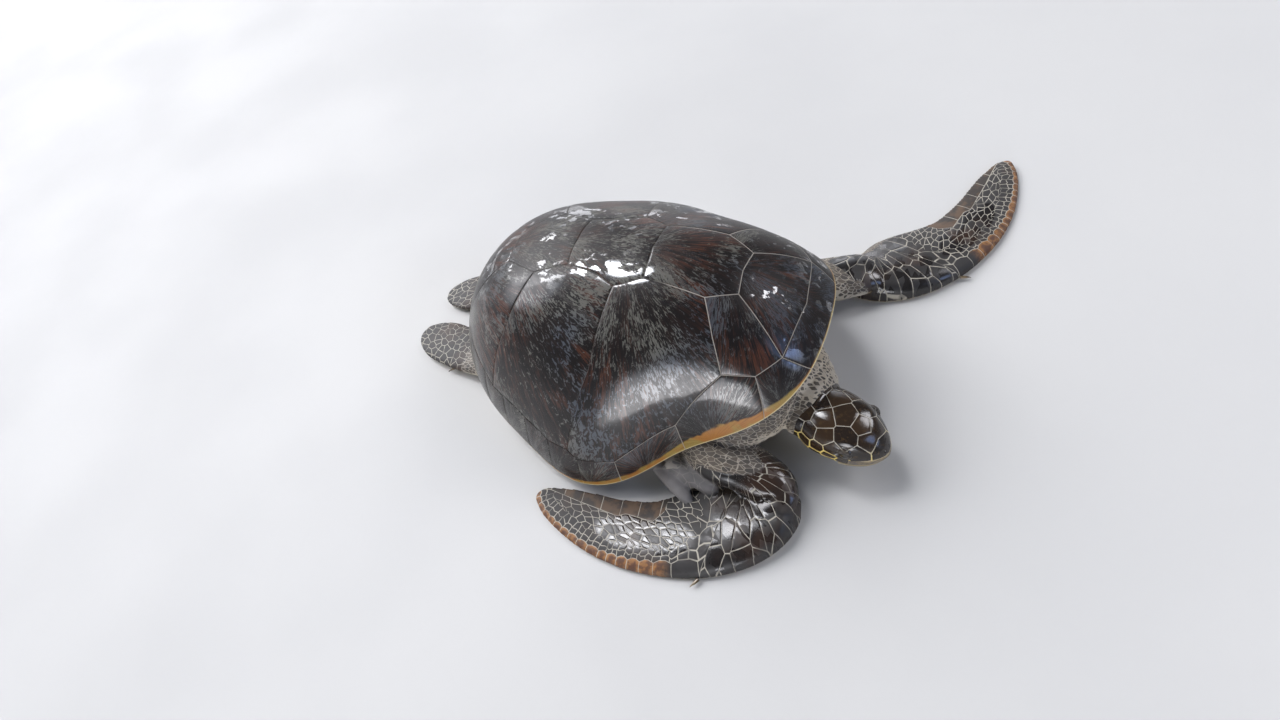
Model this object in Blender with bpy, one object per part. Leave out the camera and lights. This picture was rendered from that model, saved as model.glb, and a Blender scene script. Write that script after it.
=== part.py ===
"""A life-size green sea turtle at rest, as closed solids: head to +X, its left side to +Y, floor at Z = 0."""

import math

import bmesh
import bpy
import numpy as np
from mathutils import Matrix, Vector
from mathutils.geometry import delaunay_2d_cdt

# Shell, in metres. Each tuple is a cosine series in the angle round the shell, 0 at the head and pi at the tail.
OUTLINE = (0.4407, -0.0530, 0.0519, 0.0079, 0.0153, -0.0105, -0.0099)
RIM_HEIGHT = (0.1113, 0.0804, 0.0643, 0.0047)
CROWN_HEIGHT = 0.4384
FLATNESS = (2.506, -0.206, 0.438)
STEEPNESS = (0.844, 0.150, -0.039)
DISC_POWER = 1.3
SHOULDER_FILL, SHOULDER_ANGLE, SHOULDER_SPREAD = 0.090, 1.15, 0.45
PLATE_THICK = 0.009
RIM_THICK = 0.016
HALF_GAP = 0.0006
FIT_GAP = 0.0004
CORE_GAP = 0.0055
# Distances along the rim from the nape to each seam between marginal plates.
RIM_SEAMS = (0.119, 0.262, 0.448, 0.617, 0.720, 0.815, 0.905, 0.993, 1.080, 1.167, 1.254, 1.340, 1.427)
# Share of the radius at which each marginal seam meets the costal plates.
SEAM_DEPTH = (0.891, 0.871, 0.892, 0.931, 0.928, 0.922, 0.922, 0.925, 0.915, 0.905, 0.905, 0.905, 0.905)
# Half of the plates down the back, as distances ahead of the shell's middle and to one side.
NAPE_BACK = (0.392, 0.0)
BACK_CORNERS = ((0.268, 0.058), (0.068, 0.078), (-0.120, 0.070), (-0.306, 0.056))
BACK_SIDES = ((0.206, 0.090), (0.004, 0.104), (-0.205, 0.094))
COSTAL_ENDS = ((0.262, 0.206), (-0.088, 0.385), (-0.338, 0.284))
COSTAL_BEND = ((0.236, 0.155), (-0.022, 0.262), (-0.262, 0.200))
# Plastron.
BELLY_CENTRE = -0.050
BELLY_HALF_LENGTH = 0.392
BELLY_HALF_WIDTH = 0.288
BELLY_THICK = 0.012
BELLY_SEAMS = (0.262, 0.150, -0.010, -0.190, -0.330)
# Head.
HEAD_LENGTH = 0.212
HEAD_BASE = (0.404, -0.134, 0.118)
HEAD_TURN = math.radians(-18.0)
HEAD_NOD = math.radians(-7.0)
EYE_RADIUS = 0.0165
# Front flippers: the wrist end, the way the blade points, and its length.
RIGHT_WRIST = (0.446, -0.330, 0.0)
RIGHT_AIM = math.radians(191.0)
LEFT_WRIST = (0.425, 0.295, 0.0)
LEFT_AIM = math.radians(60.0)
BLADE_LENGTH = 0.645


def series(terms, angle):
    """A cosine series at an angle."""
    return sum(term * np.cos(k * angle) for k, term in enumerate(terms))


def disc_to_share(q):
    """Share of the rim radius at a distance q from the middle of the flat layout disc."""
    return 1.0 - np.power(np.maximum(1.0 - q, 0.0), DISC_POWER)


def share_to_disc(share):
    return 1.0 - np.power(np.maximum(1.0 - share, 0.0), 1.0 / DISC_POWER)


def shell_radius(angle, share):
    """Plan radius at the rim for a share of the way to it; the notch over the shoulder fades away up the dome."""
    fill = SHOULDER_FILL * np.exp(-(((np.abs(angle) - SHOULDER_ANGLE) / SHOULDER_SPREAD) ** 2))
    return series(OUTLINE, angle) + fill * (1.0 - share**2)


def shell_share(x, y):
    """Share of the way from the middle to the rim of a spot given by its distances ahead and to the side."""
    angle, reach = math.atan2(y, x), math.hypot(x, y)
    share = 0.5
    for _ in range(12):
        share = min(1.0, reach / float(shell_radius(angle, share)))
    return share


def shell_point(u, v):
    """Point of the shell's outer surface for a place (u, v) on the layout disc."""
    q = np.minimum(np.hypot(u, v), 1.0)
    angle = np.arctan2(v, u)
    share = disc_to_share(q)
    radius = shell_radius(angle, share)
    rim = series(RIM_HEIGHT, angle)
    flat = series(FLATNESS, angle)
    steep = series(STEEPNESS, angle)
    drop = np.power(np.maximum(1.0 - np.power(share, flat), 1e-9), steep)
    height = rim + (CROWN_HEIGHT - rim) * drop
    return np.stack([radius * share * np.cos(angle), radius * share * np.sin(angle), height], -1)


def shell_normal(u, v):
    """Outward unit normal of the shell at a place on the layout disc."""
    step = 0.004
    pull = np.minimum(1.0, (1.0 - 2.0 * step) / np.maximum(np.hypot(u, v), 1e-6))
    u, v = u * pull, v * pull
    along = shell_point(u + step, v) - shell_point(u - step, v)
    across = shell_point(u, v + step) - shell_point(u, v - step)
    normal = np.cross(along, across)
    return normal / np.linalg.norm(normal, axis=-1, keepdims=True)


def disc_place(x, y):
    """Layout disc place of a spot given by its distances ahead and to the side."""
    angle = math.atan2(y, x)
    q = float(share_to_disc(shell_share(x, y)))
    return (q * math.cos(angle), q * math.sin(angle))


def rim_angles():
    """Angle round the shell of each seam between marginal plates, measured along the rim."""
    angle = np.linspace(0.0, math.pi, 1441)
    rim = shell_point(np.cos(angle), np.sin(angle))[:, :2]
    run = np.concatenate([[0.0], np.cumsum(np.linalg.norm(np.diff(rim, axis=0), axis=1))])
    return np.interp(np.array(RIM_SEAMS) * run[-1] / RIM_SEAMS[-1], run, angle)


def at_angle(angle, share):
    q = float(share_to_disc(share))
    return (q * math.cos(angle), q * math.sin(angle))


def half_layout():
    """Seam corners of the left half, each by name, and the plates as loops of names."""
    spots = {}
    angles = rim_angles()
    for k, angle in enumerate(angles):
        spots["rim%d" % k] = at_angle(angle, 1.0)
        spots["in%d" % k] = at_angle(angle * 1.012 if k < 12 else angle, SEAM_DEPTH[k])
    spots["in0"] = disc_place(0.372, 0.134)
    spots["in1"] = disc_place(0.328, 0.186)
    spots["nape_rim"] = at_angle(0.0, 1.0)
    spots["nape_back"] = disc_place(*NAPE_BACK)
    for k, (x, y) in enumerate(BACK_CORNERS):
        spots["corner%d" % k] = disc_place(x, y)
        spots["mid%d" % k] = disc_place(x - 0.006, 0.0)
    for k, (x, y) in enumerate(BACK_SIDES):
        spots["side%d" % k] = disc_place(x, y)
    for k, (x, y) in enumerate(COSTAL_ENDS):
        spots["end%d" % k] = disc_place(x, y)
        spots["bend%d" % k] = disc_place(*COSTAL_BEND[k])
    loops = {}
    loops["costal_1"] = ["in0", "in1", "end0", "bend0", "side0", "corner0"]
    loops["costal_2"] = ["end0", "in2", "in3", "in4", "end1", "bend1", "side1", "corner1", "side0", "bend0"]
    loops["costal_3"] = ["end1", "in5", "in6", "in7", "end2", "bend2", "side2", "corner2", "side1", "bend1"]
    loops["costal_4"] = ["end2", "in8", "in9", "in10", "corner3", "side2", "bend2"]
    extra = {2: "end0", 5: "end1", 8: "end2"}
    for k in range(1, 13):
        inner = ["in%d" % k] + ([extra[k]] if k in extra else []) + ["in%d" % (k - 1)]
        loops["marginal_%d" % k] = ["rim%d" % (k - 1), "rim%d" % k] + inner
    middle = {
        "nuchal": ["nape_rim", "rim0", "in0", "nape_back"],
        "vertebral_1": ["nape_back", "in0", "corner0", "mid0"],
        "vertebral_2": ["mid0", "corner0", "side0", "corner1", "mid1"],
        "vertebral_3": ["mid1", "corner1", "side1", "corner2", "mid2"],
        "vertebral_4": ["mid2", "corner2", "side2", "corner3", "mid3"],
        "vertebral_5": ["mid3", "corner3", "in10", "in11", "in12"],
    }
    return spots, loops, middle


def seam_run(a, b, on_rim):
    """Points from a up to but not including b, enough to follow the shell's curve."""
    a, b = Vector(a), Vector(b)
    pieces = max(1, int(math.ceil((b - a).length / 0.13)))
    if on_rim:
        first, last = math.atan2(a.y, a.x), math.atan2(b.y, b.x)
        turn = (last - first + math.pi) % (2.0 * math.pi) - math.pi
        return [Vector((math.cos(first + turn * k / 3.0), math.sin(first + turn * k / 3.0))) for k in range(3)]
    return [a.lerp(b, k / pieces) for k in range(pieces)]


def plate_outline(spots, names):
    """Closed outline of a plate on the disc, anticlockwise, with its seams drawn back by half the gap."""
    points = []
    for first, second in zip(names, names[1:] + names[:1]):
        on_rim = first.startswith(("rim", "nape_rim")) and second.startswith(("rim", "nape_rim"))
        points += seam_run(spots[first], spots[second], on_rim)
    area = sum(p.x * q.y - q.x * p.y for p, q in zip(points, points[1:] + points[:1]))
    if area < 0.0:
        points.reverse()
    drawn = []
    for k, point in enumerate(points):
        before = (point - points[k - 1]).normalized()
        after = (points[(k + 1) % len(points)] - point).normalized()
        inward = Vector((-before.y - after.y, before.x + after.x)).normalized()
        scale = max(0.4, inward.dot(Vector((-after.y, after.x))))
        drawn.append(point + inward * HALF_GAP / scale)
    return drawn


def fill_outline(points, spacing):
    """Triangles over an outline, with extra points inside on a square grid."""
    coords = [Vector(p) for p in points]
    count = len(coords)
    edges = [(k, (k + 1) % count) for k in range(count)]
    low = Vector((min(p.x for p in coords), min(p.y for p in coords)))
    high = Vector((max(p.x for p in coords), max(p.y for p in coords)))
    for i in range(int((high.x - low.x) / spacing) + 1):
        for j in range(int((high.y - low.y) / spacing) + 1):
            spot = Vector((low.x + (i + 0.5) * spacing, low.y + (j + 0.5) * spacing))
            if inside(spot, points) and clearance(spot, points) > 0.45 * spacing:
                coords.append(spot)
    done = delaunay_2d_cdt(coords, edges, [], 1, 1e-7)
    return done[0], done[2]


def inside(spot, points):
    hit = False
    for a, b in zip(points, points[1:] + points[:1]):
        if (a.y > spot.y) != (b.y > spot.y) and spot.x < (b.x - a.x) * (spot.y - a.y) / (b.y - a.y) + a.x:
            hit = not hit
    return hit


def clearance(spot, points):
    best = 9.0
    for a, b in zip(points, points[1:] + points[:1]):
        run = b - a
        share = min(1.0, max(0.0, (spot - a).dot(run) / max(run.length_squared, 1e-12)))
        best = min(best, (a + run * share - spot).length)
    return best


def build_object(name, verts, faces, colour, rough):
    """One named mesh object with outward normals and its own material."""
    mesh = bpy.data.meshes.new(name)
    mesh.from_pydata([tuple(v) for v in verts], [], [tuple(f) for f in faces])
    form = bmesh.new()
    form.from_mesh(mesh)
    bmesh.ops.remove_doubles(form, verts=form.verts, dist=1e-6)
    bmesh.ops.recalc_face_normals(form, faces=form.faces)
    bmesh.ops.triangulate(form, faces=form.faces)
    form.to_mesh(mesh)
    form.free()
    thing = bpy.data.objects.new(name, mesh)
    bpy.context.scene.collection.objects.link(thing)
    material = bpy.data.materials.new(name)
    material.use_nodes = True
    shader = material.node_tree.nodes["Principled BSDF"]
    shader.inputs["Base Color"].default_value = (*colour, 1.0)
    shader.inputs["Roughness"].default_value = rough
    mesh.materials.append(material)
    return thing


def plate_solid(name, outline, thick, spacing):
    """A shell plate: its outer face on the shell, its inner face one thickness below."""
    coords, faces = fill_outline(outline, spacing)
    u = np.array([p.x for p in coords])
    v = np.array([p.y for p in coords])
    outer = shell_point(u, v)
    inner = outer - shell_normal(u, v) * thick
    return close_sheet(name, outer, inner, faces, len(outline), PLATE_COLOUR)


def close_sheet(name, outer, inner, faces, rim, colour):
    """Joins two matching sheets round their first rim points into one solid."""
    count = len(outer)
    walls = [(k, (k + 1) % rim, (k + 1) % rim + count, k + count) for k in range(rim)]
    under = [tuple(i + count for i in reversed(face)) for face in faces]
    return build_object(name, list(outer) + list(inner), list(faces) + under + walls, colour, 0.25)


PLATE_COLOUR = (0.035, 0.028, 0.022)
BELLY_COLOUR = (0.60, 0.49, 0.30)
SKIN_COLOUR = (0.11, 0.10, 0.085)
HORN_COLOUR = (0.20, 0.16, 0.10)


def mirrored(points):
    return [Vector((p.x, -p.y)) for p in reversed(points)]


def add_carapace():
    spots, loops, middle = half_layout()
    for name, names in loops.items():
        kind, number = name.split("_")
        outline = plate_outline(spots, names)
        thick = RIM_THICK if kind == "marginal" else PLATE_THICK
        spacing = 0.16 if kind == "marginal" else 0.125
        plate_solid("%s_left_%s" % (kind, number), outline, thick, spacing)
        plate_solid("%s_right_%s" % (kind, number), mirrored(outline), thick, spacing)
    for name, names in middle.items():
        flip = dict(spots)
        flip.update({key + "_r": (value[0], -value[1]) for key, value in spots.items()})
        other = [key + "_r" for key in reversed(names) if abs(spots[key][1]) > 1e-6]
        start = "nape_rim" if name == "nuchal" else names[0]
        for key in names:
            if key == "in12":
                other = [k for k in other if k != "in12_r"]
        outline = plate_outline_named(flip, names + other, start)
        plate_solid(name, outline, RIM_THICK if name == "nuchal" else PLATE_THICK, 0.125)


def plate_outline_named(spots, names, start):
    """Outline of a plate that crosses the middle line."""
    renamed = {}
    order = []
    for key in names:
        label = ("rim_" + key) if ("rim" in key) else ("at_" + key)
        renamed[label] = spots[key]
        order.append(label)
    return plate_outline(renamed, order)


def belly_outline(shrink, count=40):
    """Rounded outline of the plastron."""
    points = []
    for k in range(count):
        angle = 2.0 * math.pi * k / count
        c, s = math.cos(angle), math.sin(angle)
        reach = (abs(c) ** 2.4 + abs(s) ** 2.4) ** (-1.0 / 2.4)
        x = BELLY_CENTRE + (BELLY_HALF_LENGTH - shrink) * c * reach
        y = (BELLY_HALF_WIDTH - shrink) * s * reach * (1.0 - 0.10 * abs(c) * (c < 0.0))
        points.append(Vector((x, y)))
    return points


def clip_band(points, low, high):
    """Part of a convex outline between two cross lines."""
    for edge, sign in ((low, 1.0), (high, -1.0)):
        kept = []
        for a, b in zip(points, points[1:] + points[:1]):
            da, db = sign * (a.x - edge), sign * (b.x - edge)
            if da >= 0.0:
                kept.append(a)
            if (da > 0.0) != (db > 0.0) and abs(da - db) > 1e-9:
                kept.append(a.lerp(b, da / (da - db)))
        points = kept
    return points


def add_plastron():
    """The belly plates, each a cross band, flat underneath and rounded up at the sides."""
    names = ("gular", "humeral", "pectoral", "abdominal", "femoral", "anal")
    edges = (0.5,) + BELLY_SEAMS + (-0.6,)
    for name, high, low in zip(names, edges[:-1], edges[1:]):
        band = clip_band(belly_outline(0.0), low + 0.0002, high - 0.0002)
        coords, faces = fill_outline(band, 0.16)
        top = [(p.x, p.y, BELLY_THICK) for p in coords]
        base = [(p.x, p.y, belly_rise(p)) for p in coords]
        close_sheet("plastron_" + name, top, base, faces, len(band), BELLY_COLOUR)


def belly_rise(spot):
    """Underside height of the plastron: level in the middle, curling up at the edge."""
    c = (spot.x - BELLY_CENTRE) / BELLY_HALF_LENGTH
    s = spot.y / BELLY_HALF_WIDTH
    reach = (abs(c) ** 2.4 + abs(s) ** 2.4) ** (1.0 / 2.4)
    return 0.007 * max(0.0, (reach - 0.86) / 0.14) ** 2 if reach > 0.9 else 0.0


def ring_surface(rings, close_start=True, close_end=True):
    """Vertices and faces of a tube through rings of equal length."""
    count = len(rings[0])
    verts = [p for ring in rings for p in ring]
    faces = []
    for row in range(len(rings) - 1):
        for k in range(count):
            a, b = row * count + k, row * count + (k + 1) % count
            faces.append((a, b, b + count, a + count))
    if close_start:
        verts.append(sum((Vector(p) for p in rings[0]), Vector()) / count)
        faces += [((k + 1) % count, k, len(verts) - 1) for k in range(count)]
    if close_end:
        verts.append(sum((Vector(p) for p in rings[-1]), Vector()) / count)
        base = (len(rings) - 1) * count
        faces += [(base + k, base + (k + 1) % count, len(verts) - 1) for k in range(count)]
    return verts, faces


def trunk_bulge(angle):
    """How far the flesh under the rim swells out, by angle round the body."""
    front = math.exp(-((abs(angle) - 0.62) / 0.34) ** 2)
    rear = math.exp(-((abs(angle) - 2.60) / 0.30) ** 2)
    return 0.052 * front + 0.020 * rear


def trunk_surface(grow=0.0, count=48):
    """The body inside the shell and the flesh between the shell and the plastron."""
    rings = []
    angles = [2.0 * math.pi * k / count - math.pi for k in range(count)]
    for q in (0.16, 0.36, 0.56, 0.74, 0.87, 0.935):
        ring = []
        for a in angles:
            u, v = q * math.cos(a), q * math.sin(a)
            depth = (RIM_THICK if q > 0.55 else PLATE_THICK) + CORE_GAP - grow
            ring.append(Vector(shell_point(u, v) - shell_normal(u, v) * depth))
        rings.append(ring)
    for step in (0.0, 0.18, 0.38, 0.60, 0.80, 1.0):
        ring = []
        for a in angles:
            rim = Vector(shell_point(math.cos(a), math.sin(a)))
            out = Vector((math.cos(a), math.sin(a), 0.0))
            start = rim - out * (0.024 - grow) + Vector((0.0, 0.0, -0.008))
            c, s = math.cos(a), math.sin(a)
            reach = (abs(c) ** 2.4 + abs(s) ** 2.4) ** (-1.0 / 2.4)
            foot = Vector((BELLY_CENTRE + BELLY_HALF_LENGTH * c * reach, BELLY_HALF_WIDTH * s * reach, 0.0))
            foot = foot - out * 0.006
            foot.z = BELLY_THICK + 0.0005 - grow
            spot = start.lerp(foot, step)
            spot += out * (trunk_bulge(a) * math.sin(math.pi * min(1.0, step ** 0.8)) + grow)
            spot.z = start.z + (foot.z - start.z) * step ** 0.9
            ring.append(spot)
        rings.append(ring)
    verts, faces = ring_surface(rings, True, True)
    top = Vector(shell_point(0.0, 0.0)) - Vector((0.0, 0.0, PLATE_THICK + CORE_GAP - grow))
    verts[-2] = top
    verts[-1] = Vector((BELLY_CENTRE, 0.0, BELLY_THICK + 0.0005 - grow))
    return verts, faces


def tube(path, sizes, sides, squareness=2.0):
    """A tube along a path, with a half-width across and a half-height up at each station."""
    rings = []
    for k, centre in enumerate(path):
        before = Vector(path[max(k - 1, 0)])
        after = Vector(path[min(k + 1, len(path) - 1)])
        ahead = (after - before).normalized()
        across = ahead.cross(Vector((0.0, 0.0, 1.0))).normalized()
        up = across.cross(ahead)
        ring = []
        for j in range(sides):
            turn = 2.0 * math.pi * j / sides
            c, s = math.cos(turn), math.sin(turn)
            reach = (abs(c) ** squareness + abs(s) ** squareness) ** (-1.0 / squareness)
            ring.append(Vector(centre) + across * sizes[k][0] * c * reach + up * sizes[k][1] * s * reach)
        rings.append(ring)
    return ring_surface(rings)


def smooth_step(t):
    t = min(1.0, max(0.0, t))
    return t * t * (3.0 - 2.0 * t)


def blade_edges(u):
    """Leading and trailing edge of a front flipper's blade at a distance u from the wrist end."""
    if u < 0.28:
        lead = 0.187 * math.sqrt(max(0.0, 1.0 - ((0.28 - u) / 0.28) ** 2))
    else:
        lead = 0.187 - 0.1435 * ((u - 0.28) / (BLADE_LENGTH - 0.28)) ** 2.28
    trail = -0.064 * math.sqrt(max(0.0, 1.0 - ((0.12 - min(u, 0.12)) / 0.12) ** 2))
    trail += 0.078 * smooth_step((u - 0.15) / 0.21) - 0.018 * smooth_step((u - 0.40) / 0.16)
    blunt = max(0.0, (u - BLADE_LENGTH + 0.040) / 0.040)
    middle = 0.5 * (lead + trail)
    squeeze = math.sqrt(max(0.0, 1.0 - blunt ** 2))
    lead = middle + (lead - middle) * squeeze
    trail = middle + (trail - middle) * squeeze
    return lead, trail


def blade_thickness(u):
    return 0.058 * (1.0 - 0.80 * smooth_step(u / 0.52)) * min(1.0, math.sqrt(max(u, 0.0) / 0.05) + 0.12)


def blade_rings(stations, around):
    """Cross-sections of the blade in its own frame: u along, v to the leading edge, height up."""
    rings = []
    for k in range(stations):
        u = BLADE_LENGTH * (0.006 + 0.988 * (1.0 - math.cos(math.pi * k / (stations - 1))) / 2.0)
        lead, trail = blade_edges(u)
        thick = blade_thickness(u)
        ring = []
        for j in range(around):
            turn = 2.0 * math.pi * j / around
            share = 0.5 - 0.5 * math.cos(turn)
            lift = thick * (max(share, 0.0) ** 0.62) * (max(1.0 - share, 0.0) ** 0.36) * 1.62
            high = 0.009 + lift if turn < math.pi else max(0.0, 0.009 - 0.5 * lift)
            if j in (0, around // 2):
                high = 0.009
            ring.append(Vector((u, trail + (lead - trail) * share, high)))
        rings.append(ring)
    return rings


def placed(verts, wrist, aim, side):
    """Moves a right-side blade from its own frame into the row's; side is -1 on the left."""
    along = Vector((math.cos(aim), math.sin(aim), 0.0))
    across = Vector((-math.sin(aim) * side, math.cos(aim) * side, 0.0))
    return [Vector(wrist) + along * p.x + across * p.y + Vector((0.0, 0.0, p.z)) for p in verts]


def combine(first, second, how):
    """Applies a Boolean of the second object to the first and keeps the result as a plain mesh."""
    change = first.modifiers.new("cut", "BOOLEAN")
    change.operation = how
    change.solver = "MANIFOLD"
    change.object = second
    graph = bpy.context.evaluated_depsgraph_get()
    made = bpy.data.meshes.new_from_object(first.evaluated_get(graph))
    first.modifiers.remove(change)
    old = first.data
    first.data = made
    bpy.data.meshes.remove(old)


def drop(thing):
    bpy.data.objects.remove(thing, do_unlink=True)


def swollen(thing, gap):
    """A copy of a solid pushed out along its normals."""
    copy = bpy.data.objects.new(thing.name + "_tool", thing.data.copy())
    bpy.context.scene.collection.objects.link(copy)
    form = bmesh.new()
    form.from_mesh(copy.data)
    form.normal_update()
    for vert in form.verts:
        vert.co += vert.normal * gap
    form.to_mesh(copy.data)
    form.free()
    return copy


def keep_clear(target, others, gap=FIT_GAP):
    """Cuts a target back so that it only meets the other solids."""
    for other in others:
        tool = swollen(other, gap)
        combine(target, tool, "DIFFERENCE")
        drop(tool)
    tidy(target)


def tidy(thing):
    """Keeps the largest piece of a cut solid and welds its slivers."""
    form = bmesh.new()
    form.from_mesh(thing.data)
    bmesh.ops.triangulate(form, faces=form.faces)
    bmesh.ops.remove_doubles(form, verts=form.verts, dist=1e-5)
    bmesh.ops.dissolve_degenerate(form, edges=form.edges, dist=1e-5)
    form.verts.ensure_lookup_table()
    groups = []
    seen = set()
    for vert in form.verts:
        if vert.index in seen:
            continue
        stack, group = [vert], []
        seen.add(vert.index)
        while stack:
            now = stack.pop()
            group.append(now)
            for edge in now.link_edges:
                other = edge.other_vert(now)
                if other.index not in seen:
                    seen.add(other.index)
                    stack.append(other)
        groups.append(group)
    groups.sort(key=len)
    for group in groups[:-1]:
        bmesh.ops.delete(form, geom=group, context="VERTS")
    form.to_mesh(thing.data)
    form.free()


def arm_path(side, wrist, aim):
    """Shoulder to wrist of an upper arm, ending inside the blade."""
    shoulder = Vector((0.165, 0.205 * side, 0.100))
    elbow = Vector((wrist[0] - 0.206, (abs(wrist[1]) - 0.050) * side, 0.078))
    middle = Vector((wrist[0] - 0.132, (abs(wrist[1]) - 0.034) * side, 0.070))
    bend = Vector((wrist[0] - 0.066, (abs(wrist[1]) - 0.016) * side, 0.060))
    turn = blade_spot(wrist, aim, side, 0.046, 0.006, 0.048)
    end = blade_spot(wrist, aim, side, 0.095, 0.030, 0.034)
    return [shoulder, elbow, middle, bend, turn, end]


def add_front_flipper(name, wrist, aim, side):
    turned = 1.0 if side < 0 else -1.0
    rings = blade_rings(15, 14)
    verts, faces = ring_surface(rings)
    blade = build_object(name, placed(verts, wrist, aim, turned), faces, SKIN_COLOUR, 0.3)
    if side < 0:
        sizes = ((0.066, 0.056), (0.064, 0.050), (0.060, 0.044), (0.052, 0.036), (0.038, 0.026), (0.022, 0.014))
    else:
        sizes = ((0.070, 0.056), (0.070, 0.050), (0.070, 0.046), (0.070, 0.041), (0.066, 0.034), (0.050, 0.018))
    verts, faces = tube(arm_path(side, wrist, aim), sizes, 14)
    arm = build_object(name + "_arm", verts, faces, SKIN_COLOUR, 0.3)
    combine(blade, arm, "UNION")
    drop(arm)
    tidy(blade)
    return blade


def add_rear_flipper(name, side):
    """A broad paddle trailing back under the shell, its sole on the floor."""
    path = []
    sizes = []
    for t in (0.0, 0.14, 0.28, 0.42, 0.56, 0.70, 0.82, 0.91, 0.97, 1.0):
        x = -0.330 - 0.470 * t
        y = side * (0.152 - 0.078 * t ** 1.5)
        z = 0.040 * (1.0 - t) ** 1.5 + 0.015
        path.append(Vector((x, y, z)))
        wide = (0.048 + 0.024 * smooth_step(t / 0.65)) * math.sqrt(1.0 - (max(0.0, t - 0.74) / 0.265) ** 2)
        sizes.append((wide, (0.027 * (1.0 - t) + 0.0085) * (1.0 - 0.5 * max(0.0, t - 0.8) / 0.2)))
    verts, faces = tube(path, sizes, 14, 2.2)
    for vert in verts:
        vert.z = max(vert.z, 0.0)
    return build_object(name, verts, faces, SKIN_COLOUR, 0.3)


def add_tail():
    path = [Vector((-0.400, 0.0, 0.066)), Vector((-0.500, 0.0, 0.058)), Vector((-0.560, 0.0, 0.046))]
    path += [Vector((-0.600, 0.0, 0.036)), Vector((-0.628, 0.0, 0.030))]
    sizes = ((0.040, 0.034), (0.032, 0.028), (0.024, 0.021), (0.016, 0.014), (0.005, 0.005))
    verts, faces = tube(path, sizes, 10)
    return build_object("tail", verts, faces, SKIN_COLOUR, 0.4)


def add_neck():
    path = [Vector((0.250, -0.010, 0.150)), Vector((0.320, -0.042, 0.142)), Vector((0.375, -0.086, 0.130))]
    path += [Vector((0.425, -0.138, 0.120)), Vector((0.450, -0.148, 0.116))]
    sizes = ((0.120, 0.088), (0.112, 0.082), (0.098, 0.074), (0.078, 0.062), (0.060, 0.050))
    verts, faces = tube(path, sizes, 16)
    return build_object("neck", verts, faces, SKIN_COLOUR, 0.5)


def head_section(t):
    """Half-width, crown height and chin depth of the head at a share t of its length."""
    wide = 0.060 + 0.018 * smooth_step(t / 0.33)
    wide *= (1.0 - max(0.0, (t - 0.33) / 0.67) ** 2.3) ** 0.62
    crown = 0.052 + 0.014 * smooth_step(t / 0.45)
    crown *= (1.0 - max(0.0, (t - 0.45) / 0.55) ** 2.0) ** 0.60
    chin = 0.046 + 0.006 * smooth_step(t / 0.40)
    chin *= (1.0 - max(0.0, (t - 0.40) / 0.60) ** 3.0) ** 0.60
    return max(wide, 0.004), max(crown, 0.004), max(chin, 0.004)


def head_ring(t, around):
    wide, crown, chin = head_section(t)
    ring = []
    for j in range(around):
        turn = 2.0 * math.pi * j / around
        c, s = math.cos(turn), math.sin(turn)
        reach = (abs(c) ** 2.3 + abs(s) ** 2.3) ** (-1.0 / 2.3)
        up = crown if s > 0.0 else chin
        ring.append(Vector((t * HEAD_LENGTH, wide * c * reach, up * s * reach)))
    return ring


def head_frame():
    turn = Matrix.Rotation(HEAD_TURN, 4, "Z") @ Matrix.Rotation(-HEAD_NOD, 4, "Y")
    return Matrix.Translation(Vector(HEAD_BASE)) @ turn


def add_head():
    """The head with its eyes and horny beak, all fitted together."""
    rings = [head_ring(t, 20) for t in (0.0, 0.08, 0.2, 0.34, 0.48, 0.6, 0.7, 0.79, 0.87, 0.93, 0.975, 0.998)]
    verts, faces = ring_surface(rings)
    frame = head_frame()
    head = build_object("head", [frame @ p for p in verts], faces, SKIN_COLOUR, 0.35)
    for side, label in ((1.0, "left"), (-1.0, "right")):
        form = bmesh.new()
        bmesh.ops.create_icosphere(form, subdivisions=2, radius=EYE_RADIUS)
        place = frame @ Matrix.Translation(Vector((0.138, side * 0.0570, 0.022)))
        bmesh.ops.transform(form, matrix=place, verts=form.verts)
        points = [v.co.copy() for v in form.verts]
        shape = [[v.index for v in f.verts] for f in form.faces]
        form.free()
        eye = build_object("eye_" + label, points, shape, (0.02, 0.015, 0.01), 0.05)
        keep_clear(head, [eye])
    split_beak(head, frame, "beak_upper", (-0.0135, 0.012), 0.150)
    split_beak(head, frame, "beak_lower", (-0.080, -0.0145), 0.132)
    return head


def split_beak(head, frame, name, heights, start):
    """Cuts a horny beak plate off the front of the head, with a fitting gap behind it."""
    low, high = heights
    box = box_object(name, frame, (start, -0.1, low), (0.3, 0.1, high))
    tool = box_object(name + "_tool", frame, (start - FIT_GAP, -0.11, low - FIT_GAP), (0.31, 0.11, high + FIT_GAP))
    combine(box, head, "INTERSECT")
    combine(head, tool, "DIFFERENCE")
    drop(tool)
    tidy(box)
    tidy(head)
    for slot in box.data.materials:
        slot.node_tree.nodes["Principled BSDF"].inputs["Base Color"].default_value = (*HORN_COLOUR, 1.0)


def box_object(name, frame, low, high):
    corners = [Vector((x, y, z)) for x in (low[0], high[0]) for y in (low[1], high[1]) for z in (low[2], high[2])]
    faces = [(0, 1, 3, 2), (4, 6, 7, 5), (0, 4, 5, 1), (2, 3, 7, 6), (0, 2, 6, 4), (1, 5, 7, 3)]
    return build_object(name, [frame @ p for p in corners], faces, HORN_COLOUR, 0.3)


def add_claw(name, root, aim, length, thick, flipper):
    """A curved claw set into a flipper's leading edge."""
    root, aim = Vector(root), Vector(aim).normalized()
    path = [root - aim * 0.006, root + aim * length * 0.5, root + aim * length]
    path[2].z -= 0.002
    verts, faces = tube(path, ((thick, thick), (thick * 0.72, thick * 0.72), (0.0008, 0.0008)), 8)
    claw = build_object(name, verts, faces, HORN_COLOUR, 0.3)
    keep_clear(flipper, [claw])
    return claw


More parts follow.
